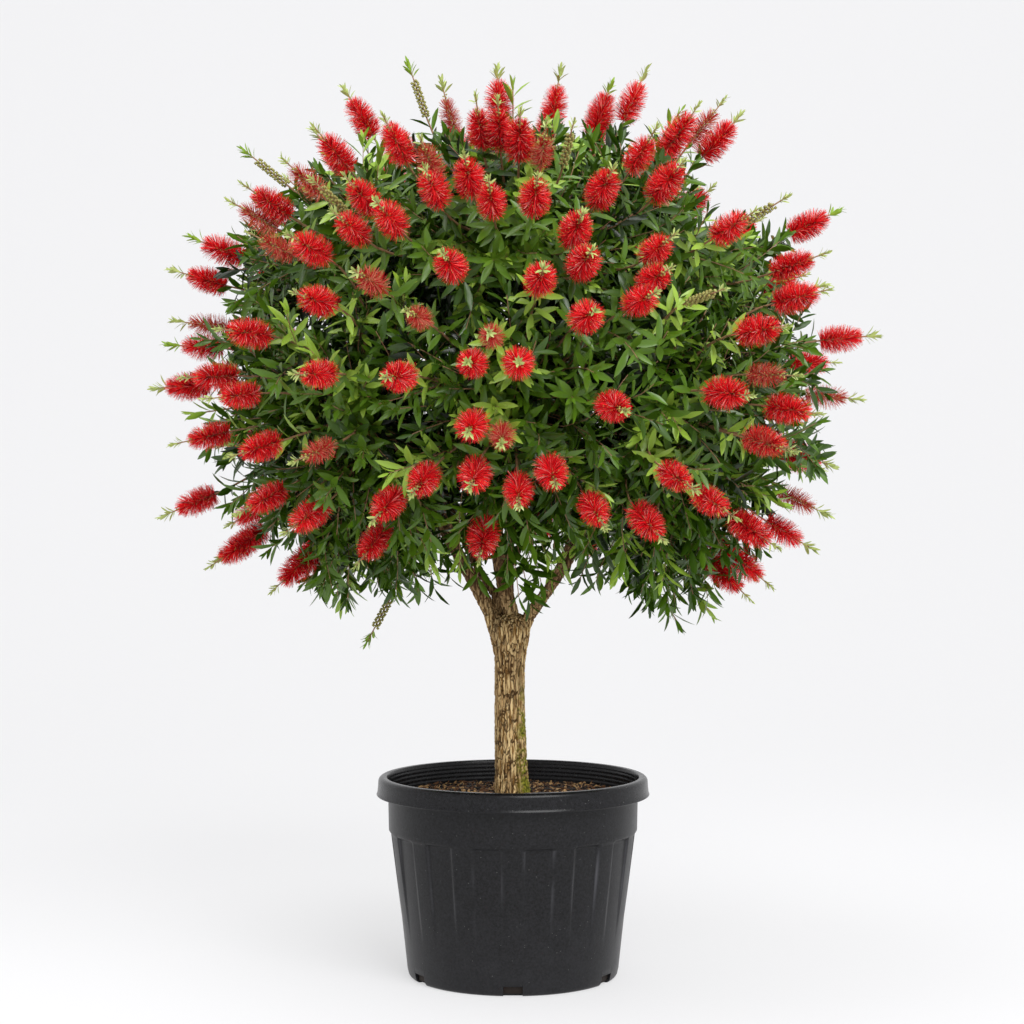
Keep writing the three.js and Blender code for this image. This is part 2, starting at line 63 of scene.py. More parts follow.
# %% Camera
EYE = Vector((0, -4.06, 0.896))
FRAME_WIDTH = 1024  # pixels
LENS_REACH = 2211  # focal length, in pixels of that frame
FRAME_SHIFT = (-1, -27)  # pixels
SENSOR_WIDTH = 36  # millimetres


def add_to_scene(name, data):
    thing = bpy.data.objects.new(name, data)
    bpy.context.scene.collection.objects.link(thing)
    return thing


def make_camera():
    data = bpy.data.cameras.new("view_camera")
    data.sensor_width = SENSOR_WIDTH
    data.lens = SENSOR_WIDTH * LENS_REACH / FRAME_WIDTH
    data.shift_x, data.shift_y = (pixels / FRAME_WIDTH for pixels in FRAME_SHIFT)
    camera = add_to_scene("view_camera", data)
    camera.location = EYE
    camera.rotation_euler = (math.radians(90), 0, 0)
    bpy.context.scene.camera = camera
    print(f"lens {data.lens:.1f} mm at {EYE.length:.2f} m")


make_camera()

# %% [markdown]
# ## Materials: a few helpers
#
# Screens show sRGB, but light adds up in linear numbers, so each colour is written as the hex value that a
# painter would pick and turned to linear once. One helper adds a shader node, and another lays colours over
# each other as a painter does, each by its own share.


# %% Helpers for materials
def linear(hex_colour):
    channels = [int(hex_colour[i : i + 2], 16) / 255 for i in (1, 3, 5)]
    return [c / 12.92 if c <= 0.04045 else ((c + 0.055) / 1.055) ** 2.4 for c in channels] + [1.0]


def fill(socket, value):
    """Links a node's output to a socket, or writes a plain value there. A text is a colour."""
    if isinstance(value, bpy.types.NodeSocket):
        socket.id_data.links.new(value, socket)
    else:
        socket.default_value = linear(value) if isinstance(value, str) else value


def add_node(material, kind, *inputs, output=None, **named):
    """Adds a node and returns its first output, or the one asked for. Inputs without a name go in order.

    A name in small letters is a setting, and one with a capital is a socket.
    """
    node = material.node_tree.nodes.new("ShaderNode" + kind)
    for name, value in named.items():
        if name.islower():
            setattr(node, name, value)
        else:
            fill(node.inputs[name.replace("_", " ")], value)
    for socket, value in zip([socket for socket in node.inputs if socket.enabled], inputs):
        fill(socket, value)
    return node.outputs[output] if output else next(socket for socket in node.outputs if socket.enabled)


def painted(material, colour, *layers):
    """Colours laid one over another. A layer is its share and its colour."""
    for share, over in layers:
        colour = add_node(material, "Mix", share, colour, over, data_type="RGBA")
    return colour


def finish(material, **sockets):
    """Sets or links the sockets of a material's Principled shader."""
    for name, value in sockets.items():
        fill(material.node_tree.nodes["Principled BSDF"].inputs[name.replace("_", " ")], value)
    return material


def new_material(name, **sockets):
    material = bpy.data.materials.new(name)
    material.use_nodes = True
    return finish(material, **sockets)


def size_to_scale(millimetres):
    """A noise texture's scale for features of a real size, on coordinates in metres."""
    return 1 / (millimetres * MM)


# %% Helpers for shapes
def unit(vector):
    return vector / np.linalg.norm(vector, axis=-1, keepdims=True)


def smooth_step(low, high, value):
    share = np.minimum(np.maximum((value - low) / (high - low), 0), 1)
    return share * share * (3 - 2 * share)


def round_about(radius, angle, height):
    """Points round the upright axis."""
    return np.stack(np.broadcast_arrays(radius * np.cos(angle), radius * np.sin(angle), height), axis=-1)


def rotations(axes, turns):
    """Matrices for many axes: their rows take X and Y across an axis, turned round it, and Z along it."""
    axes = unit(axes)
    level = np.where(np.abs(axes[..., 2:]) > 0.95, [1.0, 0, 0], [0, 0, 1.0])
    side = unit(np.cross(level, axes))
    other = np.cross(axes, side)
    cos, sin = np.cos(turns)[..., None], np.sin(turns)[..., None]
    return np.stack([cos * side + sin * other, cos * other - sin * side, axes], axis=-2)


def grid_faces(columns, rows):
    """Quads of a grid that closes on itself: columns go round, rows go along."""
    column, row = np.meshgrid(np.arange(columns), np.arange(rows - 1), indexing="ij")
    here = column * rows + row
    there = (column + 1) % columns * rows + row
    return np.stack([here, there, there + 1, here + 1], axis=-1).reshape(-1, 4)


def lathe(section, columns):
    """Points and quads of a turned surface, from rows of [radius, height] for all columns or for each."""
    section = np.asarray(section, float)
    angles = np.linspace(0, 2 * math.pi, columns, endpoint=False)
    points = round_about(section[..., 0], angles[:, None], section[..., 1])
    return points, grid_faces(columns, section.shape[-2])


def copied(faces, points, copies):
    """The faces of many copies of a shape that has so many points."""
    return np.asarray(faces) + points * np.arange(copies)[:, None, None]


def joined(pieces):
    """Joins several (points, faces) into one."""
    points, faces, start = [], [], 0
    for some_points, some_faces in pieces:
        points.append(some_points.reshape(-1, 3))
        faces.append(some_faces.reshape(-1, some_faces.shape[-1]) + start)
        start += len(points[-1])
    return np.concatenate(points), np.concatenate(faces)


def new_mesh(name, points, faces, materials=(), dealt=None, smooth=True):
    """A mesh object from arrays. dealt gives each face's material by its place in the list."""
    mesh = bpy.data.meshes.new(name)
    points, faces = np.asarray(points, np.float32), np.asarray(faces, np.int32)
    corners = faces.shape[-1]
    mesh.vertices.add(points.size // 3)
    mesh.vertices.foreach_set("co", points.ravel())
    mesh.loops.add(faces.size)
    mesh.loops.foreach_set("vertex_index", faces.ravel())
    mesh.polygons.add(faces.size // corners)
    mesh.polygons.foreach_set("loop_start", np.arange(0, faces.size, corners, dtype=np.int32))
    mesh.polygons.foreach_set("use_smooth", np.full(faces.size // corners, smooth))
    if dealt is not None:
        mesh.polygons.foreach_set("material_index", np.asarray(dealt, np.int32))
    mesh.update(calc_edges=True)
    for material in materials:
        mesh.materials.append(material)
    return add_to_scene(name, mesh)


def bake_modifiers(piece):
    """Replaces a piece's mesh by what its modifiers make of it."""
    graph = bpy.context.evaluated_depsgraph_get()
    graph.update()
    made = bpy.data.meshes.new_from_object(piece.evaluated_get(graph))
    piece.modifiers.clear()
    piece.data = made


def vertex_values(mesh, kind):
    values = np.empty(3 * len(mesh.vertices))
    mesh.vertices.foreach_get(kind, values)
    return values.reshape(-1, 3)


def keep_values(mesh, label, values):
    """Keeps a number for each vertex, for a material to read."""
    mesh.attributes.new(label, "FLOAT", "POINT").data.foreach_set("value", values)


def stand_for(piece, slot, *nodes):
    """The piece rides on the plant's one body and stands for solid nodes, which are hidden. slot is not
    used.
    """
    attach(piece, "root")
    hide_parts(*nodes)


# %% [markdown]
# ## The studio
#
# The plant stands on a seamless white paper sweep. A flat floor would end in a horizon line, and a sweep
# behind the plant would hide it from the back, so this one is a wide bowl: flat in the middle, and curved
# up all round. A bright sky over it and two large lamps give the soft, even light of a product shot, and a
# third lamp lights the paper.

# %% Studio
SWEEP_FLAT = 3.4  # radius of the flat floor, in metres
SWEEP_BEND = 3.2
SWEEP_WALL = 3.0
SWEEP_COLUMNS = 96
SKY_STRENGTH = 0.65
PAPER_GLOW = 0.49
LAMPS = {  # place and width in metres, watts, and the place that it faces
    "key_softbox": ((1.5, -3.3, 3.6), 3.0, 172, (0, 0, 1)),
    "top_softbox": ((-1.2, -0.4, 4.6), 2.6, 58, (0, 0, 1)),
    "paper_lamp": ((0, 2.6, 3.4), 1.6, 14.5, (0, 6.6, 3.2)),
}


def make_sweep():
    bend = np.linspace(0, math.pi / 2, 16)
    section = [[0, 0], [1, 0], [2, 0]]
    section += [[SWEEP_FLAT + SWEEP_BEND * math.sin(a), SWEEP_BEND * (1 - math.cos(a))] for a in bend]
    section += [[SWEEP_FLAT + SWEEP_BEND, SWEEP_BEND + SWEEP_WALL]]
    # Translucent paper, half lit from behind, so that shadows on it stay faint.
    paper = new_material("white_paper_sweep", Base_Color="#A6A6A8", Roughness=0.9)
    finish(paper, Emission_Color="#FFFFFF", Emission_Strength=PAPER_GLOW)
    new_mesh("paper_sweep", *lathe(section, SWEEP_COLUMNS), [paper])
    print(f"sweep {2 * (SWEEP_FLAT + SWEEP_BEND):.1f} m across")


def make_sky():
    world = bpy.data.worlds.new("studio_sky")
    world.use_nodes = True
    sky = world.node_tree.nodes["Background"]
    fill(sky.inputs["Color"], "#FFFFFF")
    fill(sky.inputs["Strength"], SKY_STRENGTH)
    bpy.context.scene.world = world


def make_lamp(name, place, width, watts, target):
    data = bpy.data.lights.new(name, "AREA")
    data.shape = "SQUARE"
    data.size = width
    data.energy = watts
    lamp = add_to_scene(name, data)
    lamp.location = place
    lamp.rotation_euler = (Vector(target) - lamp.location).to_track_quat("-Z", "Y").to_euler()
    lamp.visible_camera = False


make_sweep()
make_sky()
for name, facts in LAMPS.items():
    make_lamp(name, *facts)
bpy.context.scene.view_settings.view_transform = "Standard"

# %% [markdown]
# ## The pot: blow-moulded polypropylene
#
# Nursery pots are made of recycled polypropylene with soot in it. The mould gives the wall a fine matt
# grain, the rim is handled and so a little smoother, and dust clings to it as pale specks. The plastic is
# black, but its grain scatters the light, so it shows as a dark grey. Pale lines beside the ribs' edges are
# painted highlights.
#
# The shape is a lathe turn whose radius changes with the angle, so the flutes are part of the one surface
# and die away towards the foot. The drainage notches are cut with a Boolean, as their edges are sharp.

# %% Pot sizes, in millimetres
POT_HEIGHT = 363
BASE_RADIUS = 192
WALL_RADIUS = 221  # of the recesses, just under the band
BAND_FOOT, BAND_STEP, BAND_RADIUS = 266, 8, 227.5
RIM_RADIUS, RIM_DROP = 250, 34
INNER_RADIUS = 230
WALL = 4.5
INNER_TOP = POT_HEIGHT - 3
INNER_SLOPE = (INNER_RADIUS - BASE_RADIUS + WALL) / (INNER_TOP - WALL)
FLUTES, FLUTE_FOOT = 15, 84
RIB_SHARE = 0.42  # of a flute's pitch
RIB_EDGE = (-0.008, 0.026)  # where a rib's soft edge starts and ends, as shares of the pitch
POT_COLUMNS = 32 * FLUTES
RIB_PROUD = 0.7  # of the band's step, so that the band stands a little proud of the ribs too
RING_DEPTH, RING_PITCH, RING_FOOT = 0.22, 7.5, 318  # moulding rings inside the rim


def arc(centre, radius, start, end, steps):
    """Points of a round corner in the section, by its angles in degrees."""
    angles = np.radians(np.linspace(start, end, steps))
    return [[centre[0] + radius * math.cos(a), centre[1] + radius * math.sin(a)] for a in angles]


def pot_section(rib):
    """The pot's section: foot, wall, band, rim and inside. rib is 1 on a rib, 0 in a recess."""

    def wall(height):
        taper = (WALL_RADIUS - BASE_RADIUS) / BAND_FOOT
        rise = float(np.clip((height - FLUTE_FOOT) / (BAND_FOOT - FLUTE_FOOT), 0, 1)) ** 0.7
        return BASE_RADIUS + taper * height + RIB_PROUD * rib * rise * (BAND_RADIUS - WALL_RADIUS)

    band, skirt = BAND_RADIUS, POT_HEIGHT - RIM_DROP
    section = [[0.01, 0], [BASE_RADIUS - 30, 0]]
    section += arc([BASE_RADIUS - 8, 8], 8, -90, -4, 6)
    section += [[wall(height), height] for height in np.linspace(14, BAND_FOOT - BAND_STEP - 1, 16)]
    foot = wall(BAND_FOOT - BAND_STEP)
    for share in np.linspace(0, 1, 5):
        out = foot + (band - foot) * smooth_step(0, 1, share)
        section.append([out, BAND_FOOT + BAND_STEP * (share - 1)])
    section += [[band + 0.2, BAND_FOOT + 5], [band + 1.2, skirt - 10], [band + 1.6, skirt + 2]]
    section += [[band + 3, skirt + 4], [RIM_RADIUS - 4.5, skirt + 3.6]]
    section += arc([RIM_RADIUS - 1.6, skirt + 1.8], 1.6, -100, 60, 6)
    section += [[RIM_RADIUS - 1.6, skirt + 7], [RIM_RADIUS - 2.6, skirt + 17]]
    section += arc([RIM_RADIUS - 12, POT_HEIGHT - 9], 9, 5, 90, 8)
    section += [[INNER_RADIUS + 6, POT_HEIGHT - 0.2]]
    section += arc([INNER_RADIUS + 3.4, POT_HEIGHT - 2.6], 2.4, 90, 180, 5)
    for height in np.linspace(POT_HEIGHT - 6, RING_FOOT, 26):
        ring = RING_DEPTH * math.sin(2 * math.pi * height / RING_PITCH)
        section.append([INNER_RADIUS - INNER_SLOPE * (INNER_TOP - height) + ring, height])
    section += [[BASE_RADIUS - WALL, WALL], [0.01, WALL]]
    return np.array(section)


def across_rib(angles):
    """How far an angle is from the middle of a rib: 0 there and 0.5 in the middle of a recess."""
    pitch = 2 * math.pi / FLUTES
    return np.abs((angles + math.pi / 2 + pitch / 2) % pitch / pitch - 0.5)


def rib_share(angles):
    """1 on the ribs and 0 in the recesses, with a soft edge between. A recess faces the front."""
    low, high = (0.5 * RIB_SHARE + edge for edge in RIB_EDGE)
    return 1 - smooth_step(low, high, across_rib(angles))


# %% Pot plastic
RIM_FACE = (0.324, 0.332)  # heights in metres between which the matt wall turns to the smoother rim


def pot_plastic():
    pot = new_material("black_recycled_polypropylene", IOR=1.33)
    place = add_node(pot, "TexCoord", output="Object")
    height = add_node(pot, "SeparateXYZ", place, output="Z")
    cloud = add_node(pot, "TexNoise", Vector=place, Scale=size_to_scale(38), Detail=8, Roughness=0.62)
    grain = add_node(pot, "TexNoise", Vector=place, Scale=size_to_scale(4.2), Detail=5, Roughness=0.75)
    grainy = add_node(pot, "MapRange", grain, 0.35, 0.65)
    # A paler haze, in patches and more of it towards the foot.
    paler_to_foot = add_node(pot, "MapRange", height, 0.0, 0.2, 0.24, -0.08, clamp=False)
    patchy = add_node(pot, "MapRange", cloud, 0.45, 0.75, 0.0, 0.2)
    haze = add_node(pot, "Math", paler_to_foot, patchy, operation="ADD", use_clamp=True)
    # The rubbed attribute holds a painted highlight beside the ribs' edges.
    painted_rib_highlight = add_node(pot, "Attribute", attribute_name="rubbed", output="Fac")
    # Dust: in one cell in four a speck of about a millimetre.
    speck = add_node(pot, "TexVoronoi", Vector=place, Scale=size_to_scale(7))
    chance = add_node(pot, "SeparateColor", speck.node.outputs["Color"])
    rare = add_node(pot, "Math", chance, 0.74, operation="GREATER_THAN")
    near = add_node(pot, "Math", speck, 0.08, operation="LESS_THAN")
    dust = add_node(pot, "Math", rare, near, operation="MULTIPLY")
    # Over near black: grain, a paler haze, a painted highlight beside the ribs' edges, and dust.
    layers = ((grainy, "#1D1D20"), (haze, "#2E2E31"), (painted_rib_highlight, "#48484C"), (dust, "#6A6A68"))
    # The wall is matt, and the rim is rubbed smooth by hands.
    matt = add_node(pot, "MapRange", Value=cloud, To_Min=0.3, To_Max=0.46)
    rubbed = add_node(pot, "MapRange", height, *RIM_FACE, 1.0, 0.72)
    rough = add_node(pot, "Math", matt, rubbed, operation="MULTIPLY")
    worn = add_node(pot, "MapRange", height, *RIM_FACE, 0.3, 0.08)
    bump = add_node(pot, "Bump", Height=grain, Strength=worn, Distance=0.5 * MM)
    return finish(pot, Base_Color=painted(pot, "#010101", *layers), Roughness=rough, Normal=bump)


# %% Pot
NOTCHES = 6
NOTCH_SIZE = (27, 34, 36)  # depth, width and height of the cutting block
RIB_HIGHLIGHT_MIDDLE, RIB_HIGHLIGHT_EDGE = 0.004, (0.006, 0.04)  # the painted highlight beside a rib's edge, as shares of the pitch
RIB_HIGHLIGHT_PATCH = 60  # size of the painted highlight's patches, in millimetres
BOX = np.array([[x, y, z] for x in (-0.5, 0.5) for y in (-0.5, 0.5) for z in (-0.5, 0.5)])
BOX_FACES = [[0, 1, 3, 2], [4, 6, 7, 5], [0, 4, 5, 1], [2, 3, 7, 6], [0, 2, 6, 4], [1, 5, 7, 3]]


def cut_notches(pot):
    """Cuts the drainage notches through the foot of the wall. One faces the front."""
    turns = rotations(np.tile([0, 0, 1.0], (NOTCHES, 1)), 2 * math.pi * np.arange(NOTCHES) / NOTCHES)
    blocks = (BOX * NOTCH_SIZE + [BASE_RADIUS, 0, 0]) @ turns
    cutter = new_mesh("notch_cutter", blocks * MM, copied(BOX_FACES, len(BOX), NOTCHES), smooth=False)
    cut = pot.modifiers.new("notches", "BOOLEAN")
    cut.object = cutter
    cut.solver = "EXACT"
    bake_modifiers(pot)
    bpy.data.objects.remove(cutter)


def mark_painted_rib_highlights(mesh):
    """Marks a painted highlight beside the ribs' edges, stronger here and weaker there."""
    x, y, height = (vertex_values(mesh, "co") / MM).T
    off = np.abs(across_rib(np.arctan2(y, x)) - 0.5 * RIB_SHARE - RIB_HIGHLIGHT_MIDDLE)
    edge = 1 - smooth_step(*RIB_HIGHLIGHT_EDGE, off)
    upper = smooth_step(FLUTE_FOOT, FLUTE_FOOT + 130, height) * (height < BAND_FOOT - BAND_STEP)
    # The painted highlight is stronger in some patches than in others.
    worn = [0.4 + noise.noise(Vector(p)) for p in zip(x / RIB_HIGHLIGHT_PATCH, y / RIB_HIGHLIGHT_PATCH, height / RIB_HIGHLIGHT_PATCH)]
    keep_values(mesh, "rubbed", edge * upper * np.clip(worn, 0, 1))


def make_pot():
    angles = np.linspace(0, 2 * math.pi, POT_COLUMNS, endpoint=False)
    recess, rib = pot_section(0), pot_section(1)
    section = recess + rib_share(angles)[:, None, None] * (rib - recess)
    points, faces = lathe(section, POT_COLUMNS)
    pot = new_mesh("pot", points * MM, faces, [pot_plastic()])
    cut_notches(pot)
    mark_painted_rib_highlights(pot.data)
    stand_for(pot, "pot_plastic", "pot")
    print(f"pot: {len(pot.data.polygons)} faces")


make_pot()

# %% [markdown]
# ## The potting mix: composted pine bark
#
# Potting mix for shrubs is mostly bark chips of 5 to 20 mm, dark and moist, with a few paler dry ones. Its
# look comes from the chips' edges and the black gaps between them, which no bump map gives from a low
# camera. So it is an uneven surface with real chips strewn over it, each a rough little slab.

# %% Potting mix
MIX_TOP, MIX_CROWN = 324, 332  # heights at the wall and in the middle, in millimetres
MIX_CLEAR = 0.9  # from the pot's wall
MIX_LUMPS = ((5, 45, 0), (2.5, 14, 40))  # height, width and where in the noise
MIX_COLUMNS = 160
MIX_CHIPS = 3000
CHIP_LENGTH, CHIP_SLIM, CHIP_THICK = (4, 14), (0.3, 0.7), (1.5, 4.5)  # slim is width over length
CHIP_LEAN, FIBRE_LEAN = 0.42, 1.3
MIX_FIBRES = 260  # of the chips, long and thin ones
MIX_SEED = 11
CHIP_COLOURS = {"wet_bark_chip": "#251910", "bark_chip": "#6E4827", "dry_bark_chip": "#CBA26C"}
CHIP_SHARES = (0.44, 0.34, 0.22)


def bark_chip_material(name, colour):
    """Composted pine bark tears along its fibres: matt, with darker streaks."""
    chip = new_material(name, Roughness=0.85)
    place = add_node(chip, "TexCoord", output="Object")
    fibre = add_node(chip, "TexNoise", Vector=place, Scale=size_to_scale(4), Detail=4)
    dark = [0.45 * c for c in linear(colour)[:3]] + [1.0]
    bump = add_node(chip, "Bump", Height=fibre, Strength=0.6, Distance=1 * MM)
    return finish(chip, Base_Color=painted(chip, dark, (fibre, colour)), Normal=bump)


def mix_radius(height):
    """The inside of the pot's wall, less a hair's breadth."""
    return BASE_RADIUS - WALL + INNER_SLOPE * (height - WALL) - MIX_CLEAR


def mix_height(x, y):
    """Height of the mix's surface at a place, in millimetres: a low mound with lumps."""
    rise = smooth_step(mix_radius(MIX_TOP), 45, math.hypot(x, y))
    lumps = sum(high * noise.noise(Vector((x, y, z)) / wide) for high, wide, z in MIX_LUMPS)
    return MIX_TOP + (MIX_CROWN - MIX_TOP) * float(rise) + lumps - 2


def make_mix(materials):
    side = [[0.01, 5], [mix_radius(5), 5]]
    side += [[mix_radius(height), height] for height in np.linspace(20, MIX_TOP - 3, 24)]
    top = [[radius, MIX_TOP] for radius in np.linspace(mix_radius(MIX_TOP), 4, 46)]
    points, faces = lathe(side + top, MIX_COLUMNS)
    for column in points:
        for point in column[len(side) :]:
            point[2] = mix_height(point[0], point[1])
        shrink = [1 - 0.006 * (1 + noise.noise(Vector(point) / 9)) for point in column[2 : len(side)]]
        column[2 : len(side), :2] *= np.array(shrink)[:, None]
    stand_for(new_mesh("bark_mix", points * MM, faces, materials[:1]), "bark_mix", "potting_mix")


def make_chips(materials):
    """A chip is a box with its corners pushed about, lying flat, at any bearing. Some are long fibres."""
    rng = np.random.default_rng(MIX_SEED)
    length = rng.uniform(*CHIP_LENGTH, MIX_CHIPS)
    width = length * rng.uniform(*CHIP_SLIM, MIX_CHIPS)
    size = np.stack([length, width, rng.uniform(*CHIP_THICK, MIX_CHIPS)], axis=-1)
    size[:MIX_FIBRES] = np.array([1.6, 0, 0]) * size[:MIX_FIBRES] + [6, 1.4, 1.2]
    local = BOX * rng.uniform(0.7, 1.15, (MIX_CHIPS, 8, 3)) * size[:, None]
    turn = rng.uniform(0, 2 * math.pi, MIX_CHIPS)
    lean = rng.normal(0, CHIP_LEAN, MIX_CHIPS)
    lean[:MIX_FIBRES] = rng.uniform(-FIBRE_LEAN, FIBRE_LEAN, MIX_FIBRES)
    tilted = local @ rotations(np.stack([np.sin(lean), np.zeros(MIX_CHIPS), np.cos(lean)], axis=-1), turn)
    out = mix_radius(MIX_TOP) * np.sqrt(rng.uniform(0.012, 0.96, MIX_CHIPS))
    places = round_about(out, rng.uniform(0, 2 * math.pi, MIX_CHIPS), 0)
    places[:, 2] = [mix_height(x, y) + rng.uniform(0, 2.5) for x, y, _ in places]
    points = (tilted + places[:, None]) * MM
    dealt = np.repeat(rng.choice(3, MIX_CHIPS, p=CHIP_SHARES), len(BOX_FACES))
    chips = new_mesh("bark_chips", points, copied(BOX_FACES, len(BOX), MIX_CHIPS), materials, dealt, False)
    stand_for(chips, "bark_mix", "potting_mix")
    print(f"mix: {MIX_CHIPS} chips")


chip_materials = [bark_chip_material(name, colour) for name, colour in CHIP_COLOURS.items()]
make_mix(chip_materials)
make_chips(chip_materials)

# %% [markdown]
# ## The trunk and the boughs
#
# The solid model's centre lines are worked out again here from the same sizes. The thick wood is joined by
# a voxel remesh, which melts the limbs into each other at the fork as growing wood does, and then each
# point is moved along its normal by a bark pattern. Old bottlebrush bark splits into upright plates with
# dark fissures between them: cells of a Voronoi pattern, stretched along the trunk, give both, and the
# depth of each point is kept with the mesh so that the material can darken the fissures exactly where they
# are, partly for their own darker bark and partly as painted shade. Higher up, towards the boughs, the
# bark is painted a darker grey as the shade under the crown.

# %% Trunk and limb sizes, in millimetres and degrees
TRUNK_BASE = MIX_CROWN + 0.3
FORK = np.array([-4.2, 0, 628.0])
TRUNK_FOOT_X, TRUNK_BOW_X = -0.5, -9.5
TRUNK_GIRTH = 26.6
FLARE, FLARE_HEIGHT = 5.5, 60
KNUCKLE, KNUCKLE_FOOT, KNUCKLE_RISE = 9, 560, 80
SADDLE = 36
ARMS = {  # bearing, distance out from the fork, height, tilt from the vertical, girth
    "left": (182, 43, 673, 27, 13.4),
    "centre": (215, 8, 688, 17, 13.8),
    "right": (352, 44, 670, 38, 10.8),
    "rear": (98, 32, 670, 24, 11.6),
    "left_rear": (156, 33, 697, 39, 7.9),
}
RINGS = {  # elevation, middle and spread of the masses' faces, and where their limbs end
    "lower": {"elevation": -14, "middle": -22, "spread": (21, 35), "out": 205, "height": 935},
    "upper": {"elevation": 38, "middle": 38, "spread": (34, 27), "out": 120, "height": 1196},
    "top": {"elevation": 90, "middle": 90, "spread": (25, 25), "out": 6, "height": 1240},
}
LIMB_LIST = [  # name, what it starts from and how far along, girth, its mass's ring and bearing
    ("bough_left", "left", 1, 13, "lower", 180),
    ("bough_centre", "centre", 1, 13.4, "top", 0),
    ("bough_right", "right", 1, 10.5, "lower", 0),
    ("bough_rear", "rear", 1, 11.3, "upper", 54),
    ("limb_rear_left", "left_rear", 1, 7.7, "lower", 135),
    ("limb_front_left", "bough_left", 0.25, 7, "lower", 225),
    ("limb_front", "bough_centre", 0.16, 7, "lower", 270),
    ("limb_front_right", "bough_right", 0.12, 7, "lower", 315),
    ("limb_rear_right", "bough_right", 0.3, 6.5, "lower", 45),
    ("limb_rear", "bough_rear", 0.1, 7, "lower", 90),
    ("limb_upper_front", "bough_centre", 0.45, 7.5, "upper", 270),
    ("limb_upper_right", "bough_right", 0.55, 7, "upper", 342),
    ("limb_upper_rear", "bough_centre", 0.3, 7.5, "upper", 126),
    ("limb_upper_left", "bough_left", 0.5, 7, "upper", 198),
]
LIMB_TAPER = 0.55
LIMB_SPRING = 0.4
CENTRE = np.array([0, 0, 1110.0])
CROWN_HALF_WIDTH, CROWN_RISE, CROWN_DROP, CROWN_SKIRT = 672, 563, 455, 48
GAP_ANGLE, GAP_HALF_WIDTH, GAP_DEPTH = 39, 5.5, 0.22  # degrees from +X, degrees, share of the reach
UPPER_POWER, LOWER_POWER = 2.2, 2.6
HEART_DEPTH = 0.55


def heading(bearing, elevation):
    b, e = math.radians(bearing), math.radians(elevation)
    return np.array([math.cos(b) * math.cos(e), math.sin(b) * math.cos(e), math.sin(e)])


def reach(direction):
    """How far the crown reaches from its centre in a direction, or in many."""
    x, y, z = np.moveaxis(np.asarray(direction, float), -1, 0)
    power = np.where(z > 0, UPPER_POWER, LOWER_POWER)
    half = np.where(z > 0, CROWN_RISE, CROWN_DROP + CROWN_SKIRT * np.cos(2 * np.arctan2(y, x)))
    full = ((np.hypot(x, y) / CROWN_HALF_WIDTH) ** power + (np.abs(z) / half) ** power) ** (-1 / power)
    # The one gap in the outline, at its upper right, where the shoots are shorter.
    off = (np.degrees(np.arctan2(z, x)) - GAP_ANGLE) / GAP_HALF_WIDTH
    return full * (1 - GAP_DEPTH * np.exp(-(off**2)) * smooth_step(0.74, 1, np.hypot(x, z)))


class Bend:
    """A quadratic curve from a start, towards a bend, to an end, or many such curves."""

    def __init__(self, *places):
        self.start, self.bend, self.end = (np.asarray(place, float) for place in places)

    def point(self, t):
        t = np.asarray(t, float)[..., None]
        return (1 - t) ** 2 * self.start + 2 * t * (1 - t) * self.bend + t**2 * self.end

    def tangent(self, t):
        t = np.asarray(t, float)[..., None]
        return unit((1 - t) * (self.bend - self.start) + t * (self.end - self.bend))


# %% Centre lines
def arm_curve(name):
    bearing, out, height, tilt, _ = ARMS[name]
    end = heading(bearing, 0) * out + FORK
    end[2] = height
    root = FORK + 0.25 * (end - FORK)
    root[2] = FORK[2] - 36
    elbow = end - 0.5 * np.linalg.norm(end - root) * heading(bearing, 90 - tilt)
    return Bend(root, elbow, end)


def limb_curves():
    """Each limb's centre line, its foot's girth, and its mass's ring, bearing and heading."""
    curves = {}
    for name, parent, along, girth, ring, bearing in LIMB_LIST:
        ring = RINGS[ring]
        end = heading(bearing, 0) * ring["out"]
        end[2] = ring["height"]
        source = arm_curve(parent) if parent in ARMS else curves[parent]["curve"]
        start, spring = source.point(along), source.tangent(along)
        if parent not in ARMS:
            spring = unit(spring + unit(end - start))
        curve = Bend(start, start + LIMB_SPRING * np.linalg.norm(end - start) * spring, end)
        facts = {"curve": curve, "source": parent, "girth": girth, "bearing": bearing, "ring": ring}
        curves[name] = facts | {"towards": heading(bearing, ring["elevation"])}
    return curves


def heart_of(limb):
    """The place inside a limb's mass where its twigs start."""
    return CENTRE + limb["towards"] * HEART_DEPTH * float(reach(limb["towards"]))


def mass_stem(limb):
    """The stem that carries on from a limb's tip to the heart of its mass."""
    tip, heart = limb["curve"].end, heart_of(limb)
    return Bend(tip, tip + LIMB_SPRING * np.linalg.norm(heart - tip) * limb["curve"].tangent(1), heart)


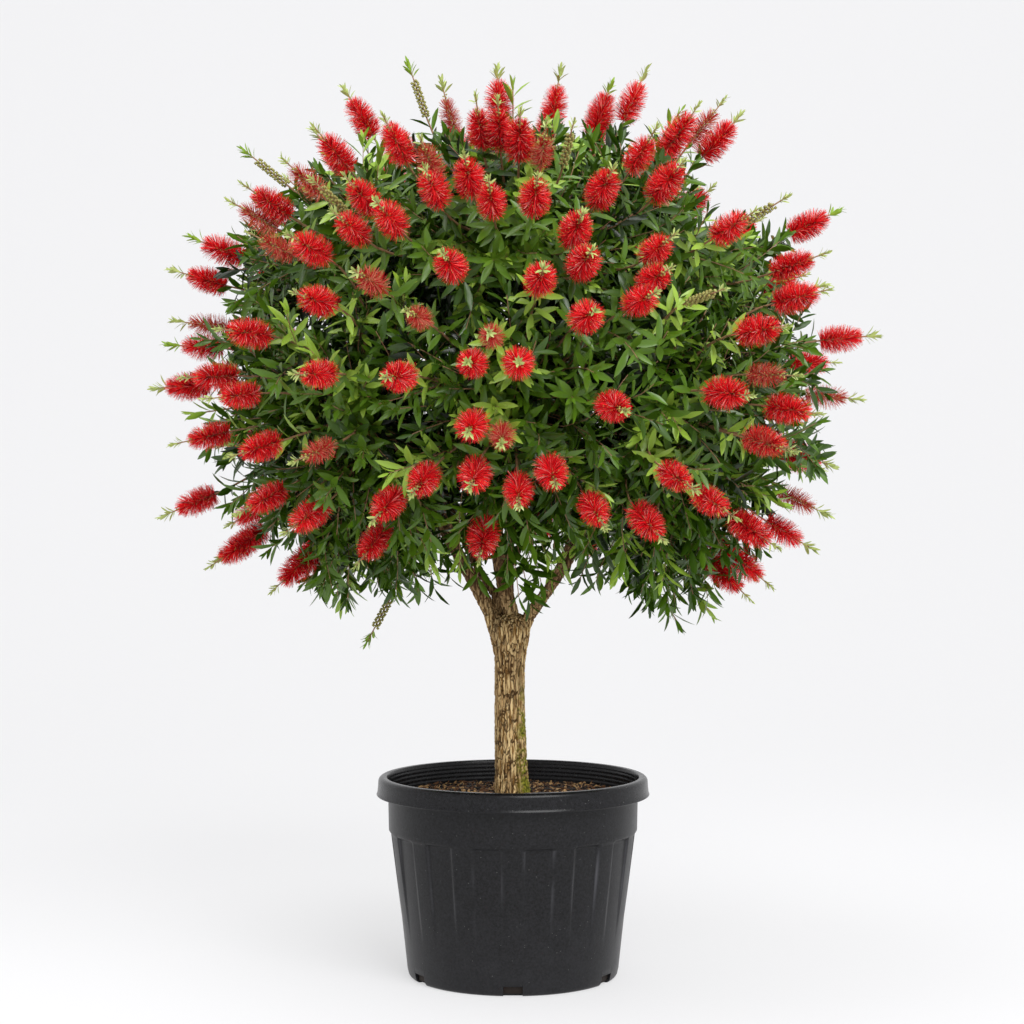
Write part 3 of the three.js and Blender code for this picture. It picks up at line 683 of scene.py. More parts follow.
def tubes(lines, radii, sides):
    """Points and quads of many round tubes at once, closed at both ends.

    lines is (tubes, rings, 3) and radii (tubes, rings). Each ring's frame is carried on from the one before,
    so that a tube doesn't twist.
    """
    lines, radii = np.asarray(lines, float), np.asarray(radii, float)
    ahead = unit(np.gradient(lines, axis=1))
    level = np.where(np.abs(ahead[:, 0, 2:]) > 0.9, [1.0, 0, 0], [0, 0, 1.0])
    side = unit(np.cross(ahead[:, 0], level))
    angle = np.linspace(0, 2 * math.pi, sides, endpoint=False)
    rings = []
    for i in range(lines.shape[1]):
        side = unit(side - ahead[:, i] * np.sum(side * ahead[:, i], axis=-1, keepdims=True))
        other = np.cross(ahead[:, i], side)
        around = side[:, None] * np.cos(angle)[:, None] + other[:, None] * np.sin(angle)[:, None]
        rings.append(lines[:, i, None] + around * radii[:, i, None, None])
    caps = [np.repeat(lines[:, i, None], sides, axis=1) for i in (0, -1)]
    points = np.stack([caps[0], *rings, caps[1]], axis=2)
    rows = points.shape[2]
    return points, copied(grid_faces(sides, rows)[:, ::-1], sides * rows, len(points))


limbs = limb_curves()
print(f"{len(limbs)} limbs and {len(ARMS)} arms")

# %% Bark material
BARK_PLATE = 5.4  # width of a plate of old bark, in millimetres
BARK_STRETCH = 5.6  # a plate's length over its width
BARK_WARPS = ((30, 0.6), (6, 0.26))  # size in millimetres, and how far it pushes a plate, in plates
FISSURE = 0.32  # width of a fissure's slope, in plates
BARK_VALUES = ("bark_height", "plate_tone", "moss")  # kept with each vertex
CROWN_SHADE_HEIGHTS = (0.63, 0.72)  # heights in metres between which the bark turns from tan to a darker grey, a painted shade under the crown


def bark_material():
    """Pale plates and dark fissures, tan on the trunk and greyer on the boughs, with moss at the foot.

    The fissures' dark is partly their own and partly painted shade, and the boughs' darker grey is painted
    shade under the crown.
    """
    bark = new_material("bottlebrush_bark", Roughness=0.88, IOR=1.3)
    place = add_node(bark, "TexCoord", output="Object")
    height = add_node(bark, "SeparateXYZ", place, output="Z")
    upright = add_node(bark, "Mapping", Vector=place, Scale=(1, 1, 0.12))
    streak = add_node(bark, "TexNoise", Vector=upright, Scale=size_to_scale(3.4), Detail=5)
    patch = add_node(bark, "TexNoise", Vector=upright, Scale=size_to_scale(20), Detail=3)
    tuft = add_node(bark, "TexNoise", Vector=place, Scale=size_to_scale(4), Detail=3)
    depth, tone, moss = (add_node(bark, "Attribute", attribute_name=n, output="Fac") for n in BARK_VALUES)
    contrast = add_node(bark, "MapRange", streak, 0.4, 0.6)
    pale = painted(bark, "#85602E", (contrast, "#EED098"))
    dark = painted(bark, "#563A1D", (contrast, "#B08754"))
    grey = painted(bark, "#46311F", (contrast, "#96754F"))
    green = painted(bark, "#39400C", (add_node(bark, "MapRange", tuft, 0.35, 0.65), "#9C9A34"))
    tan = (add_node(bark, "MapRange", tone, 0.0, 1.0, 0.0, 0.75), dark)
    aged = (add_node(bark, "MapRange", patch, 0.48, 0.72, 0.0, 0.6), "#937A58")
    # Higher up the plates turn a darker grey: painted shade under the crown.
    plates = painted(bark, pale, tan, aged, (add_node(bark, "MapRange", height, *CROWN_SHADE_HEIGHTS), grey))
    # The fissures are darker, partly for their own darker bark and partly as painted shade.
    split = painted(bark, "#3A2611", (add_node(bark, "MapRange", depth, 0.0, 0.65), plates))
    bump = add_node(bark, "Bump", Height=streak, Strength=0.7, Distance=1.2 * MM)
    return finish(bark, Base_Color=painted(bark, split, (moss, green)), Normal=bump)


bark = bark_material()


# %% Bark relief
WARP_SEED = 7  # without one, the warp's noise starts from the clock and differs from run to run
MOSS_THICKNESS = 0.8  # millimetres
PLATE_LEVEL = 0.75  # the height that stays where it is, from 0 in a fissure to 1 on a plate
noise.seed_set(WARP_SEED)


def bark_plate(point):
    """At a place in millimetres: 0 at the bottom of a fissure to 1 on a plate, and the plate's own tone."""
    (wide, far), (fine, near) = BARK_WARPS
    warp = noise.noise_vector(point / wide) * far + noise.noise_vector(point / fine) * near
    cell = Vector((point.x, point.y, point.z / BARK_STRETCH)) / BARK_PLATE + warp
    distances, centres = noise.voronoi(cell)
    return float(smooth_step(0.0, FISSURE, distances[1] - distances[0])), noise.cell(31 * centres[0])


def moss_share(point):
    """Where moss grows: low on the trunk's right side."""
    side = smooth_step(-0.1, 0.55, point.x / math.hypot(point.x, point.y - 4) - 0.12)
    low = 1 - smooth_step(430, 590, point.z)
    patchy = smooth_step(-0.2, 0.35, 0.06 + noise.noise(point / 18) + 0.7 * noise.noise(point / 4.5))
    return float(side * low * patchy)


def wood_piece(name, lines, voxel, relief):
    """Melts tubes together, smooths them and raises the bark. relief is the depth of a fissure."""
    points, faces = joined([tubes([line], [radii], 20) for line, radii in lines])
    piece = new_mesh(name, points * MM, faces, [bark])
    remesh = piece.modifiers.new("melt", "REMESH")
    remesh.mode = "VOXEL"
    remesh.voxel_size = voxel * MM
    soften = piece.modifiers.new("soften", "SMOOTH")
    soften.factor = 0.5
    soften.iterations = 5
    bake_modifiers(piece)
    mesh = piece.data
    places, normals = vertex_values(mesh, "co") / MM, vertex_values(mesh, "normal")
    heights, tones = np.array([bark_plate(Vector(p)) for p in places]).T
    mosses = np.array([moss_share(Vector(p)) for p in places])
    rough = np.array([0.25 * noise.noise(Vector(p) / 3) for p in places])
    lift = relief * (heights - PLATE_LEVEL + rough) + MOSS_THICKNESS * mosses
    mesh.vertices.foreach_set("co", ((places + normals * lift[:, None]) * MM).ravel())
    for label, values in zip(BARK_VALUES, (heights, tones, mosses)):
        keep_values(mesh, label, values)
    mesh.polygons.foreach_set("use_smooth", np.ones(len(mesh.polygons), bool))
    mesh.update()
    print(f"{name}: {len(mesh.polygons)} faces")
    return piece


# %% Trunk and boughs
ARM_FOOT = 1.6  # an arm's girth inside the trunk, over its girth where it comes out
TRUNK_SKIN, BOUGH_SKIN = 0.8, 0.9  # added to their radii under the bark, in millimetres


def sampled(curve, steps, girth, tip):
    share = np.linspace(0, 1, steps)
    return curve.point(share), girth + (tip - girth) * share


def make_trunk():
    foot = np.array([TRUNK_FOOT_X, 0, TRUNK_BASE - 9])
    bend = foot + 0.5 * (FORK - foot)
    bend[0] = TRUNK_BOW_X
    stem = Bend(foot, bend, FORK).point(np.linspace(0, 1, 40))
    height = stem[:, 2]
    girth = TRUNK_GIRTH + FLARE * np.exp((TRUNK_BASE - height) / FLARE_HEIGHT)
    girth += KNUCKLE * smooth_step(KNUCKLE_FOOT, KNUCKLE_FOOT + KNUCKLE_RISE, height)
    # The fork's rounded saddle, between the arms.
    share = np.linspace(0.2, 1, 6)
    stem = np.concatenate([stem, FORK + np.outer(share * SADDLE, [0, 0, 1])])
    girth = np.concatenate([girth, girth[-1] * np.sqrt(1.02 - share**2)])
    lines = [(stem, girth + TRUNK_SKIN)]
    for name, (*_, arm_girth) in ARMS.items():
        lines.append(sampled(arm_curve(name), 12, ARM_FOOT * arm_girth, arm_girth - TRUNK_SKIN))
    stand_for(wood_piece("trunk", lines, 1.3, 2.2), "trunk_bark", "trunk")


def make_boughs():
    lines = []
    for limb in limbs.values():
        tip = LIMB_TAPER * limb["girth"]
        points, radii = sampled(limb["curve"], 16, limb["girth"], tip)
        if limb["source"] in ARMS:
            # It starts inside its arm, so that the bark runs on without a step.
            inside, _ = sampled(arm_curve(limb["source"]), 9, 0, 0)
            points = np.concatenate([inside[-4:-1], points])
            radii = np.concatenate([np.full(3, limb["girth"] + BOUGH_SKIN), radii + BOUGH_SKIN])
        lines += [(points, radii), sampled(mass_stem(limb), 12, tip, 0.75 * tip)]
    stand_for(wood_piece("boughs", lines, 2.2, 1.5), "limb_bark", *LIMBS)


make_trunk()
make_boughs()

# %% [markdown]
# ## The crown's leading shoots
#
# Every shoot heads away from one point in the middle of the head, as a clipped and regrown standard's do.
# The leading ones make the outline and carry the flowers. Those of the outline and of the far side follow
# the solid model's own rule, with the same seeds. Those that face the front stand where this plant's
# flowers stand, given as places on the upright plane through the trunk and carried forward to the crown's
# surface.

# %% Seeded rule of the leading shoots
SHOOTS_PER_MASS = 6
SHOOT_SEED = 2207
SHOOT_JITTER = 2.5
SHOOT_SPACING = 16
SHOOT_ASIDE = 0.15
SHOOT_SHORTER = 0.1
SHOOT_SWAY = 0.12
BLOOM_SHARE = 0.85
LOWEST_BLOOM = -52
REAR_PLACES, REAR_SPACING, REAR_REACH = 900, 12.2, 0.96
REAR_LOWEST = -50
PAST_BLOOM = 0.14  # share of the far side's flowers that fade or are spent
GOLDEN_ANGLE = math.radians(137.508)
BRUSH_LENGTH = 84
BRUSH_ABOVE = 30  # how far the leafy tip grows on beyond the flower
BLOOM, FADING, SPENT, LEAFY = range(4)
OUTLINE = [  # angle from +X and reach, about the crown's centre
    (303, 575), (309, 595), (319, 590), (329, 655), (335, 642), (343, 620), (355, 652), (5, 672),
    (15, 600), (26, 680), (48, 628), (57, 580), (66, 610), (71, 565), (81, 560), (90, 530), (104, 557),
    (109, 595), (121, 612), (130, 575), (141, 640), (158, 640), (164, 655), (183, 672), (203, 700),
    (213, 650), (226, 560), (242, 575), (172, 635), (176, 645), (188, 610), (93, 560),
]  # fmt: skip
OUTLINE_KINDS = {SPENT: (109, 141, 242), FADING: (104, 172, 335, 355), LEAFY: (57, 90, 188, 226, 303, 309)}
FRONT_PLACES = {  # across and up, in millimetres
    BLOOM: [
        (-80, 1460), (-25, 1550), (235, 1505), (-275, 1425), (-225, 1385), (-145, 1440), (-40, 1420),
        (40, 1425), (115, 1365), (165, 1440), (280, 1450), (400, 1370), (-370, 1330), (-115, 1300),
        (50, 1275), (130, 1305), (260, 1275), (-485, 1175), (-360, 1235), (135, 1205), (235, 1235),
        (450, 1180), (-505, 1060), (-360, 1100), (-210, 1095), (-75, 1120), (10, 1120), (185, 1040),
        (390, 1065), (505, 1035), (-560, 985), (-465, 965), (-75, 1005), (-70, 915), (70, 920), (300, 910),
        (465, 975), (-455, 870), (-375, 840), (-230, 860), (-165, 905), (-55, 800), (10, 885), (150, 850),
        (245, 830), (365, 865), (435, 815), (-255, 790), (390, 730), (-325, 1505), (-212, 1522), (12, 1530),
        (303, 1540), (515, 1300), (520, 1240), (-505, 780), (-395, 745), (-443, 1412), (426, 750),
        (-61, 1554), (-296, 1368), (-545, 1095), (265, 1330),
    ],
    FADING: [
        (-260, 1270), (-40, 1170), (-175, 1205), (55, 1512), (347, 1552), (-377, 1453), (-152, 1488),
        (-434, 1333), (-465, 1385), (-360, 957), (460, 972), (468, 1098), (-20, 985),
    ],
    SPENT: [(345, 1240), (99, 1512), (450, 1392), (-330, 1420)],
}  # fmt: skip
FRONT_DEPTH = 0.87  # where the middle of a flower stands, as a share of the reach


def dice(seed):
    """The solid model's seeded die: the same numbers from the same seed, each from 0 to 1."""
    state = seed & 0xFFFFFFFF
    while True:
        state = (state + 0x6D2B79F5) & 0xFFFFFFFF
        t = ((state ^ (state >> 15)) * (1 | state)) & 0xFFFFFFFF
        t = ((t + (((t ^ (t >> 7)) * (61 | t)) & 0xFFFFFFFF)) & 0xFFFFFFFF) ^ t
        yield ((t ^ (t >> 14)) & 0xFFFFFFFF) / 4294967296


def outline_shoots():
    for i, (angle, length) in enumerate(OUTLINE):
        roll = dice(SHOOT_SEED + 1000 + i)
        direction = unit(heading(0, angle) + np.array([0, SHOOT_SWAY * (next(roll) - 0.5), 0]))
        kind = next((kind for kind, angles in OUTLINE_KINDS.items() if angle in angles), BLOOM)
        yield direction, length, kind


def rule_shoots():
    """The shoots that the masses' rule gives: spread over each mass's face by the golden angle."""
    for m, limb in enumerate(limbs.values()):
        ring, bearing = limb["ring"], limb["bearing"]
        face, across = heading(bearing, ring["middle"]), heading(bearing + 90, 0)
        up = np.cross(face, across)
        wide, high = (math.tan(math.radians(spread)) for spread in ring["spread"])
        for i in range(SHOOTS_PER_MASS):
            roll = dice(SHOOT_SEED + 100 * m + i)
            off = math.sqrt((i + 0.35) / SHOOTS_PER_MASS)
            turn = GOLDEN_ANGLE * i + math.radians(60 * m)
            strays = [math.tan(math.radians(SHOOT_JITTER)) * (2 * next(roll) - 1) for _ in range(2)]
            direction = face + across * (off * math.cos(turn) * wide + strays[0])
            direction = unit(direction + up * (off * math.sin(turn) * high + strays[1]))
            length = (1 - SHOOT_SHORTER * next(roll)) * float(reach(direction))
            blooms = math.degrees(math.asin(direction[2])) > LOWEST_BLOOM and next(roll) < BLOOM_SHARE
            yield direction, length, BLOOM if blooms else LEAFY


def on_front(across, up):
    """Direction and length of a shoot whose flower is seen at a place on the plane through the trunk."""
    eye = np.array(EYE) / MM
    ray = np.array([across, 0, up]) - eye
    away = eye + ray * np.linspace(0.78, 1, 400)[:, None] - CENTRE
    distance = np.linalg.norm(away, axis=-1)
    full = reach(unit(away))
    inside = distance < FRONT_DEPTH * full
    first = int(np.argmax(inside)) if inside.any() else int(np.argmin(distance / full))
    return unit(away[first]), distance[first] + BRUSH_LENGTH / 2 + BRUSH_ABOVE


def sphere_spread(count, start):
    """Directions spread evenly over a sphere by the golden angle, in a shuffled but fixed order."""
    i = np.arange(count) + 0.5
    up = 1 - 2 * i / count
    spread = round_about(np.sqrt(1 - up**2), GOLDEN_ANGLE * i + 2 * math.pi * start, up)
    return spread[np.random.default_rng(count).permutation(count)]


def leading_shoots():
    shoots = list(outline_shoots())
    shoots += [(*on_front(*place), kind) for kind, places in FRONT_PLACES.items() for place in places]
    front = len(shoots)

    def crowded(direction, degrees):
        return any(float(other @ direction) > math.cos(math.radians(degrees)) for other, _, _ in shoots)

    shoots += [s for s in rule_shoots() if s[0][1] > SHOOT_ASIDE and not crowded(s[0], SHOOT_SPACING)]
    # The far side has flowers too: more shoots take the widest gaps that are left.
    for direction in sphere_spread(REAR_PLACES, 0.31):
        high_enough = math.degrees(math.asin(direction[2])) > REAR_LOWEST
        if direction[1] > -0.05 and high_enough and not crowded(direction, REAR_SPACING):
            shoots.append((direction, REAR_REACH * float(reach(direction)), BLOOM))
    rng = np.random.default_rng(SHOOT_SEED)
    for i in range(front, len(shoots)):
        if shoots[i][2] == BLOOM and rng.random() < PAST_BLOOM:
            shoots[i] = (*shoots[i][:2], int(rng.choice([FADING, SPENT])))
    return shoots


lead_way, lead_length, lead_kind = (np.array(values) for values in zip(*leading_shoots()))
lead_foot = CENTRE + lead_way * (lead_length - BRUSH_LENGTH - BRUSH_ABOVE)[:, None]
print("leading shoots in bloom, fading, spent and leafy:", np.bincount(lead_kind))

# %% [markdown]
# ## Twigs
#
# Each leading twig leaves the heart of its mass and bends to its own heading. Between the leading shoots
# many finer ones fill the head: each takes the nearest leading twig, leaves it part way along at a slant,
# and ends at its own place on the surface or inside. That is how the shrub itself does it, and it keeps
# every leaf on wood that can be followed back to the trunk.

# %% Twig lines
LEAD_STEPS = 9
SIDE_STEPS = 6
LEAD_GIRTH = (3.6, 1.7)  # radius at the heart and under the flower
LEAD_TIP_GIRTH = (1.6, 1.4, 1.0)
SIDE_GIRTH = (1.5, 0.8)
OUTER_TWIGS = {"count": 1500, "seed": 4410, "depth": (0.68, 0.86), "length": (110, 220)}
INNER_TWIGS = {"count": 1450, "seed": 4411, "depth": (0.32, 0.66), "length": (80, 160)}
LOWEST_SHOOT = -54  # elevation, below which the trunk and boughs stand clear
UNDERSIDE_ARCH = 4  # the same limit is this much higher in front and behind, and lower at the sides
TIP_STRAY, TIP_UPTURN, TWIG_SAG = 0.13, 0.16, 0.1  # as shares of the twig's length
FLOWER_CLEAR = (3.5, 8)  # degrees round a flower where the twigs stay short
TOP_LOWER = 0.09  # at the top the leaves keep this much lower, and the flowers stand clear of them
HANGING_TIPS = [  # across, forward and up
    (-345, -90, 705), (-312, -130, 700), (-268, 60, 712), (-205, -170, 712), (-170, -90, 705),
    (-138, -190, 715), (-120, 120, 722), (-62, -215, 735), (10, -235, 702), (28, -215, 690),
    (52, -190, 712), (70, -120, 735), (34, -150, 740), (118, -150, 728), (150, -60, 722),
    (205, 110, 735), (318, -120, 700), (352, -60, 692), (378, 90, 705), (262, -190, 728),
]  # fmt: skip


def bent(start, bend, end, steps):
    """Points along many quadratic curves at once."""
    return Bend(start[:, None], bend[:, None], end[:, None]).point(np.linspace(0, 1, steps))


def leading_lines():
    masses = list(limbs.values())
    towards = np.array([limb["towards"] for limb in masses])
    nearest = np.argmax(lead_way @ towards.T, axis=1)
    hearts = np.array([heart_of(limb) for limb in masses])[nearest]
    gap = np.linalg.norm(lead_foot - hearts, axis=-1, keepdims=True)
    twigs = bent(hearts, lead_foot - 0.5 * gap * lead_way, lead_foot, LEAD_STEPS)
    beyond = (BRUSH_LENGTH + 0.7 * BRUSH_ABOVE) * np.array([0.33, 0.67, 1.0])
    tips = lead_foot[:, None] + lead_way[:, None] * beyond[:, None]
    return np.concatenate([twigs, tips], axis=1)


def side_lines(count, seed, depth, length):
    """Finer twigs to an even spread of places. depth is their share of the reach, length their own."""
    rng = np.random.default_rng(seed)
    way = sphere_spread(count, 0.77)
    way = unit(way + rng.normal(0, 0.035, way.shape))
    arch = UNDERSIDE_ARCH * np.cos(2 * np.arctan2(way[:, 1], way[:, 0]))
    way = way[np.degrees(np.arcsin(way[:, 2])) > LOWEST_SHOOT - arch]
    near = np.argmax(way @ lead_way.T, axis=1)
    from_leader = np.degrees(np.arccos(np.clip(np.sum(way * lead_way[near], axis=-1), -1, 1)))
    # Round a flower the twigs stay short, so that it stands clear of the leaves.
    crowded = (1 - smooth_step(*FLOWER_CLEAR, from_leader)) * (lead_kind[near] != LEAFY)
    share = np.minimum(rng.uniform(*depth, len(way)), 1 - 0.3 * crowded)
    share *= 1 - TOP_LOWER * smooth_step(0.6, 1, way[:, 2])
    end = CENTRE + way * (share * reach(way))[:, None]
    wanted = np.linalg.norm(end - CENTRE, axis=-1) - rng.uniform(*length, len(way))
    parents = lead_lines[near, :LEAD_STEPS]
    out = np.linalg.norm(parents - CENTRE, axis=-1)
    at = np.array([np.interp(w, o, np.arange(LEAD_STEPS)) for w, o in zip(wanted, out)])
    at = np.clip(at, 0.4, LEAD_STEPS - 1.05)
    step, rows = at.astype(int), np.arange(len(way))
    before, after = parents[rows, step], parents[rows, step + 1]
    start = before + (at - step)[:, None] * (after - before)
    span = np.linalg.norm(end - start, axis=-1, keepdims=True)
    sag = np.array([0, 0, -1.0]) * span * TWIG_SAG * (1 - way[:, 2:])
    bend = start + 0.45 * span * unit(unit(after - before) + 0.5 * unit(end - start))
    # The last stretch turns up to the light, each a little its own way.
    turned = rng.normal(0, TIP_STRAY, way.shape) + np.array([0, 0, TIP_UPTURN]) * (0.5 + way[:, 2:])
    return bent(start, bend - span * turned, end + sag, SIDE_STEPS)


def hanging_lines():
    """Leafy shoots under the head, whose tips hang down."""
    tips = np.array(HANGING_TIPS, float)
    near = np.argmax(unit(tips - CENTRE) @ lead_way.T, axis=1)
    start = lead_lines[near, LEAD_STEPS // 2]
    span = np.linalg.norm(tips - start, axis=-1, keepdims=True)
    over = np.array([0, 0, 0.2]) * span - 0.16 * (tips - start)
    return bent(start, tips + over, tips, SIDE_STEPS)


lead_lines = leading_lines()
outer_lines = side_lines(**OUTER_TWIGS)
inner_lines = side_lines(**INNER_TWIGS)
low_lines = hanging_lines()
print(f"{len(lead_lines)} leading, {len(outer_lines)} outer and {len(inner_lines)} inner twigs")

# %% Twigs
def twig_material():
    """This year's wood is reddish tan and smooth, with fine lengthwise wrinkles."""
    twig = new_material("young_red_twig", Roughness=0.6)
    place = add_node(twig, "TexCoord", output="Object")
    wrinkle = add_node(twig, "TexNoise", Vector=place, Scale=size_to_scale(7), Detail=3)
    return finish(twig, Base_Color=painted(twig, "#6E4730", (wrinkle, "#A98561")))


def foliage_piece(name, points, faces, materials, dealt=None, smooth=True):
    """A piece of the crown: it stands for all the masses."""
    stand_for(new_mesh(name, points * MM, faces, materials, dealt, smooth), "foliage", *MASSES)
    print(f"{name}: {len(faces) * (faces.shape[1] - 2)} triangles")


def make_twigs():
    lead_radii = np.concatenate([np.linspace(*LEAD_GIRTH, LEAD_STEPS), LEAD_TIP_GIRTH])
    side_radii = np.linspace(*SIDE_GIRTH, SIDE_STEPS)
    kinds = [(lead_lines, lead_radii, 6)]
    kinds += [(lines, side_radii, 3) for lines in (outer_lines, inner_lines, low_lines)]
    twigs = [tubes(lines, np.tile(radii, (len(lines), 1)), sides) for lines, radii, sides in kinds]
    foliage_piece("twigs", *joined(twigs), [twig_material()])


make_twigs()

# %% [markdown]
# ## Leaves
#
# A bottlebrush leaf is a narrow lance, about 50 mm long, stiff, a little folded along its midrib and curved
# back. Leaves stand round the twig in a spiral, small and pale at the tip. One leaf is drawn once, with
# twelve triangles and somewhat wider than life so that fewer fill the head, and arrays of places and
# headings turn it into tens of thousands. Real leaves of one spray have one age and so one green, so each
# spray is dealt one of a few plain greens. The darkest green is painted shade, dealt mostly to the sprays
# inside the head.

# %% Leaf shape
LEAF_STATIONS = [(0.24, 0.72), (0.56, 1.0), (0.84, 0.58)]  # share of the length, share of the half width
LEAF_SLENDERNESS = 4
LEAF_CURL = 0.12
LEAF_FOLD = 0.35  # how far the edges stand above the midrib, as a share of the half width
LEAF_GREENS = {"tender_leaf": "#B0BD70", "fresh_leaf": "#8EAE3C", "grown_leaf": "#4E7014"}
# The darkest green is painted shade, for the sprays inside the head.
LEAF_GREENS |= {"old_leaf": "#325008", "painted_shade_leaf": "#122602"}
LEAF_SEED = 91


def leaf_material(name, colour):
    """A leaf's wax gives it a soft gloss that is uneven from leaf to leaf."""
    leaf = new_material(name, Base_Color=colour, IOR=1.47)
    place = add_node(leaf, "TexCoord", output="Object")
    wax = add_node(leaf, "TexNoise", Vector=place, Scale=size_to_scale(30), Detail=2)
    return finish(leaf, Roughness=add_node(leaf, "MapRange", wax, 0, 1, 0.16, 0.5))


def spiral_leaves(lines, distances, lengths, splays, rng, droop):
    """Leaves round many twigs. distances are from the tip, and lengths and splays go with them.

    Returns each leaf's root, along, across and upper directions, and length, as arrays (twigs, leaves).
    """
    steps = np.linalg.norm(np.diff(lines, axis=1), axis=-1)
    run = np.concatenate([np.zeros((len(lines), 1)), np.cumsum(steps, axis=1)], axis=1)
    place = np.clip(run[:, -1:] - distances, 0, None)
    rows = [[np.interp(p, r, line[:, k]) for k in range(3)] for p, r, line in zip(place, run, lines)]
    root = np.array(rows).transpose(0, 2, 1)
    tip_way = unit(lines[:, -1] - lines[:, -3])[:, None]
    inner_way = unit(lines[:, -3] - lines[:, 1])[:, None]
    blend = np.clip(distances / (0.6 * run[:, -1:]), 0, 1)[..., None]
    ahead = unit(tip_way * (1 - blend) + inner_way * blend)
    turn = GOLDEN_ANGLE * np.arange(distances.shape[-1]) + rng.uniform(0, 2 * math.pi, (len(lines), 1))
    side = rotations(ahead, turn + rng.normal(0, 0.25, root.shape[:2]))[..., 0, :]
    splay = np.radians(splays + rng.normal(0, 9, root.shape[:2]))[..., None]
    along = unit(np.cos(splay) * ahead + np.sin(splay) * side + np.array([0, 0, -1.0]) * droop)
    across = unit(np.cross(ahead, side))
    upper = unit(np.cross(along, across))
    roll = rng.normal(0, 0.35, root.shape[:2])[..., None]
    across = unit(np.cos(roll) * across + np.sin(roll) * upper)
    upper = np.cross(along, across)
    return root, along, np.cross(upper, along), upper, lengths * rng.uniform(0.82, 1.15, root.shape[:2])


def leaf_outline():
    """A leaf's points, as shares along and across, and its twelve triangles."""
    points = [(0, 0)]
    for along, width in LEAF_STATIONS:
        points += [(along, -width), (along, 0), (along, width)]
    points.append((1, 0))
    last = len(points) - 1
    faces = [(0, 2, 1), (0, 3, 2)]
    for i in range(1, last - 3, 3):
        for left, right in ((i, i + 1), (i + 1, i + 2)):
            faces += [(left, right, right + 3), (left, right + 3, left + 3)]
    faces += [(last - 3, last - 2, last), (last - 2, last - 1, last)]
    return np.array(points), np.array(faces)


def leaf_mesh(leaves):
    """Points and faces of leaves given by spiral_leaves."""
    root, along, across, upper, length = (a.reshape(-1, 1, a.shape[2] if a.ndim > 2 else 1) for a in leaves)
    outline, triangles = leaf_outline()
    forward, sideways = outline[:, :1], outline[:, 1:]
    half = 0.5 * length / LEAF_SLENDERNESS
    points = root + along * length * forward + across * half * sideways
    lift = LEAF_FOLD * half * np.abs(sideways) - LEAF_CURL * length * forward**2
    return points + upper * lift, copied(triangles, len(outline), len(root))


# %% Leaves
SPRAYS = {
    # leaves, first and spacing in mm, length in mm and splay in degrees at the tip and lower down, droop,
    # and shares of the tender, fresh, grown, old and painted shade greens
    "under a flower": (16, 8, 7.5, (38, 50), (48, 70), 0.08, (0, 0.3, 0.5, 0.2, 0)),
    "leafy shoot": (22, 1, 8, (20, 50), (16, 58), 0.05, (0, 0.5, 0.5, 0, 0)),
    "outer": (17, 1, 8, (26, 51), (18, 58), 0.1, (0, 0.15, 0.44, 0.36, 0.05)),
    "inner": (11, 2, 10, (42, 53), (36, 68), 0.12, (0, 0, 0.1, 0.3, 0.6)),
    "hanging": (16, 1, 8, (38, 56), (34, 74), 0.0, (0, 0.1, 0.6, 0.3, 0)),
    "tuft": (13, 0.5, 1.5, (13, 21), (8, 44), 0.0, (1, 0, 0, 0, 0)),
    "outline tuft": (15, 0.5, 1.6, (18, 29), (10, 42), 0.0, (0.75, 0.25, 0, 0, 0)),
}
FULL_GROWN = 40  # distance from the tip, in millimetres, where leaves have their full length
FULL_SPLAY = 70  # and where they stand out fully


def make_leaves():
    rng = np.random.default_rng(LEAF_SEED)
    batches = {name: [] for name in LEAF_GREENS}
    flowering = lead_kind != LEAFY
    outlying = np.arange(len(lead_kind)) < len(OUTLINE)
    wearers = {
        "under a flower": lead_lines[flowering][:, :LEAD_STEPS],
        "leafy shoot": lead_lines[~flowering],
        "outer": outer_lines,
        "inner": inner_lines,
        "hanging": low_lines,
        "tuft": lead_lines[flowering & ~outlying],
        "outline tuft": lead_lines[flowering & outlying],
    }
    for spray, lines in wearers.items():
        count, first, spacing, length, splay, droop, greens = SPRAYS[spray]
        distance = first + spacing * np.arange(count)
        lengths = length[0] + smooth_step(0, FULL_GROWN, distance) * (length[1] - length[0])
        splays = splay[0] + smooth_step(0, min(FULL_SPLAY, distance[-1]), distance) * (splay[1] - splay[0])
        leaves = spiral_leaves(lines, np.tile(distance, (len(lines), 1)), lengths, splays, rng, droop)
        # Each spray has one green, as its leaves are of one age; the darkest green is painted shade.
        green = rng.choice(list(LEAF_GREENS), len(lines), p=greens)
        for name, meshes in batches.items():
            if (green == name).any():
                meshes.append(leaf_mesh([values[green == name] for values in leaves]))
    for name, meshes in batches.items():
        foliage_piece(name, *joined(meshes), [leaf_material(name, LEAF_GREENS[name])])


make_leaves()

# %% [markdown]
# ## Flowers
#
# The brush is a spike of small flowers whose petals hardly show: the red is all stamens, some thousands
# of threads 20 to 26 mm long, each with a pollen-tipped anther. Fewer and slightly wider threads give the
# same fringe from a step away. Four brushes are drawn, thread by thread, and dealt out with a turn and a
# size of their own. A fading brush has lost many of its threads and gone brown, and a spent one is a
# stretch of woody seed capsules round the twig.

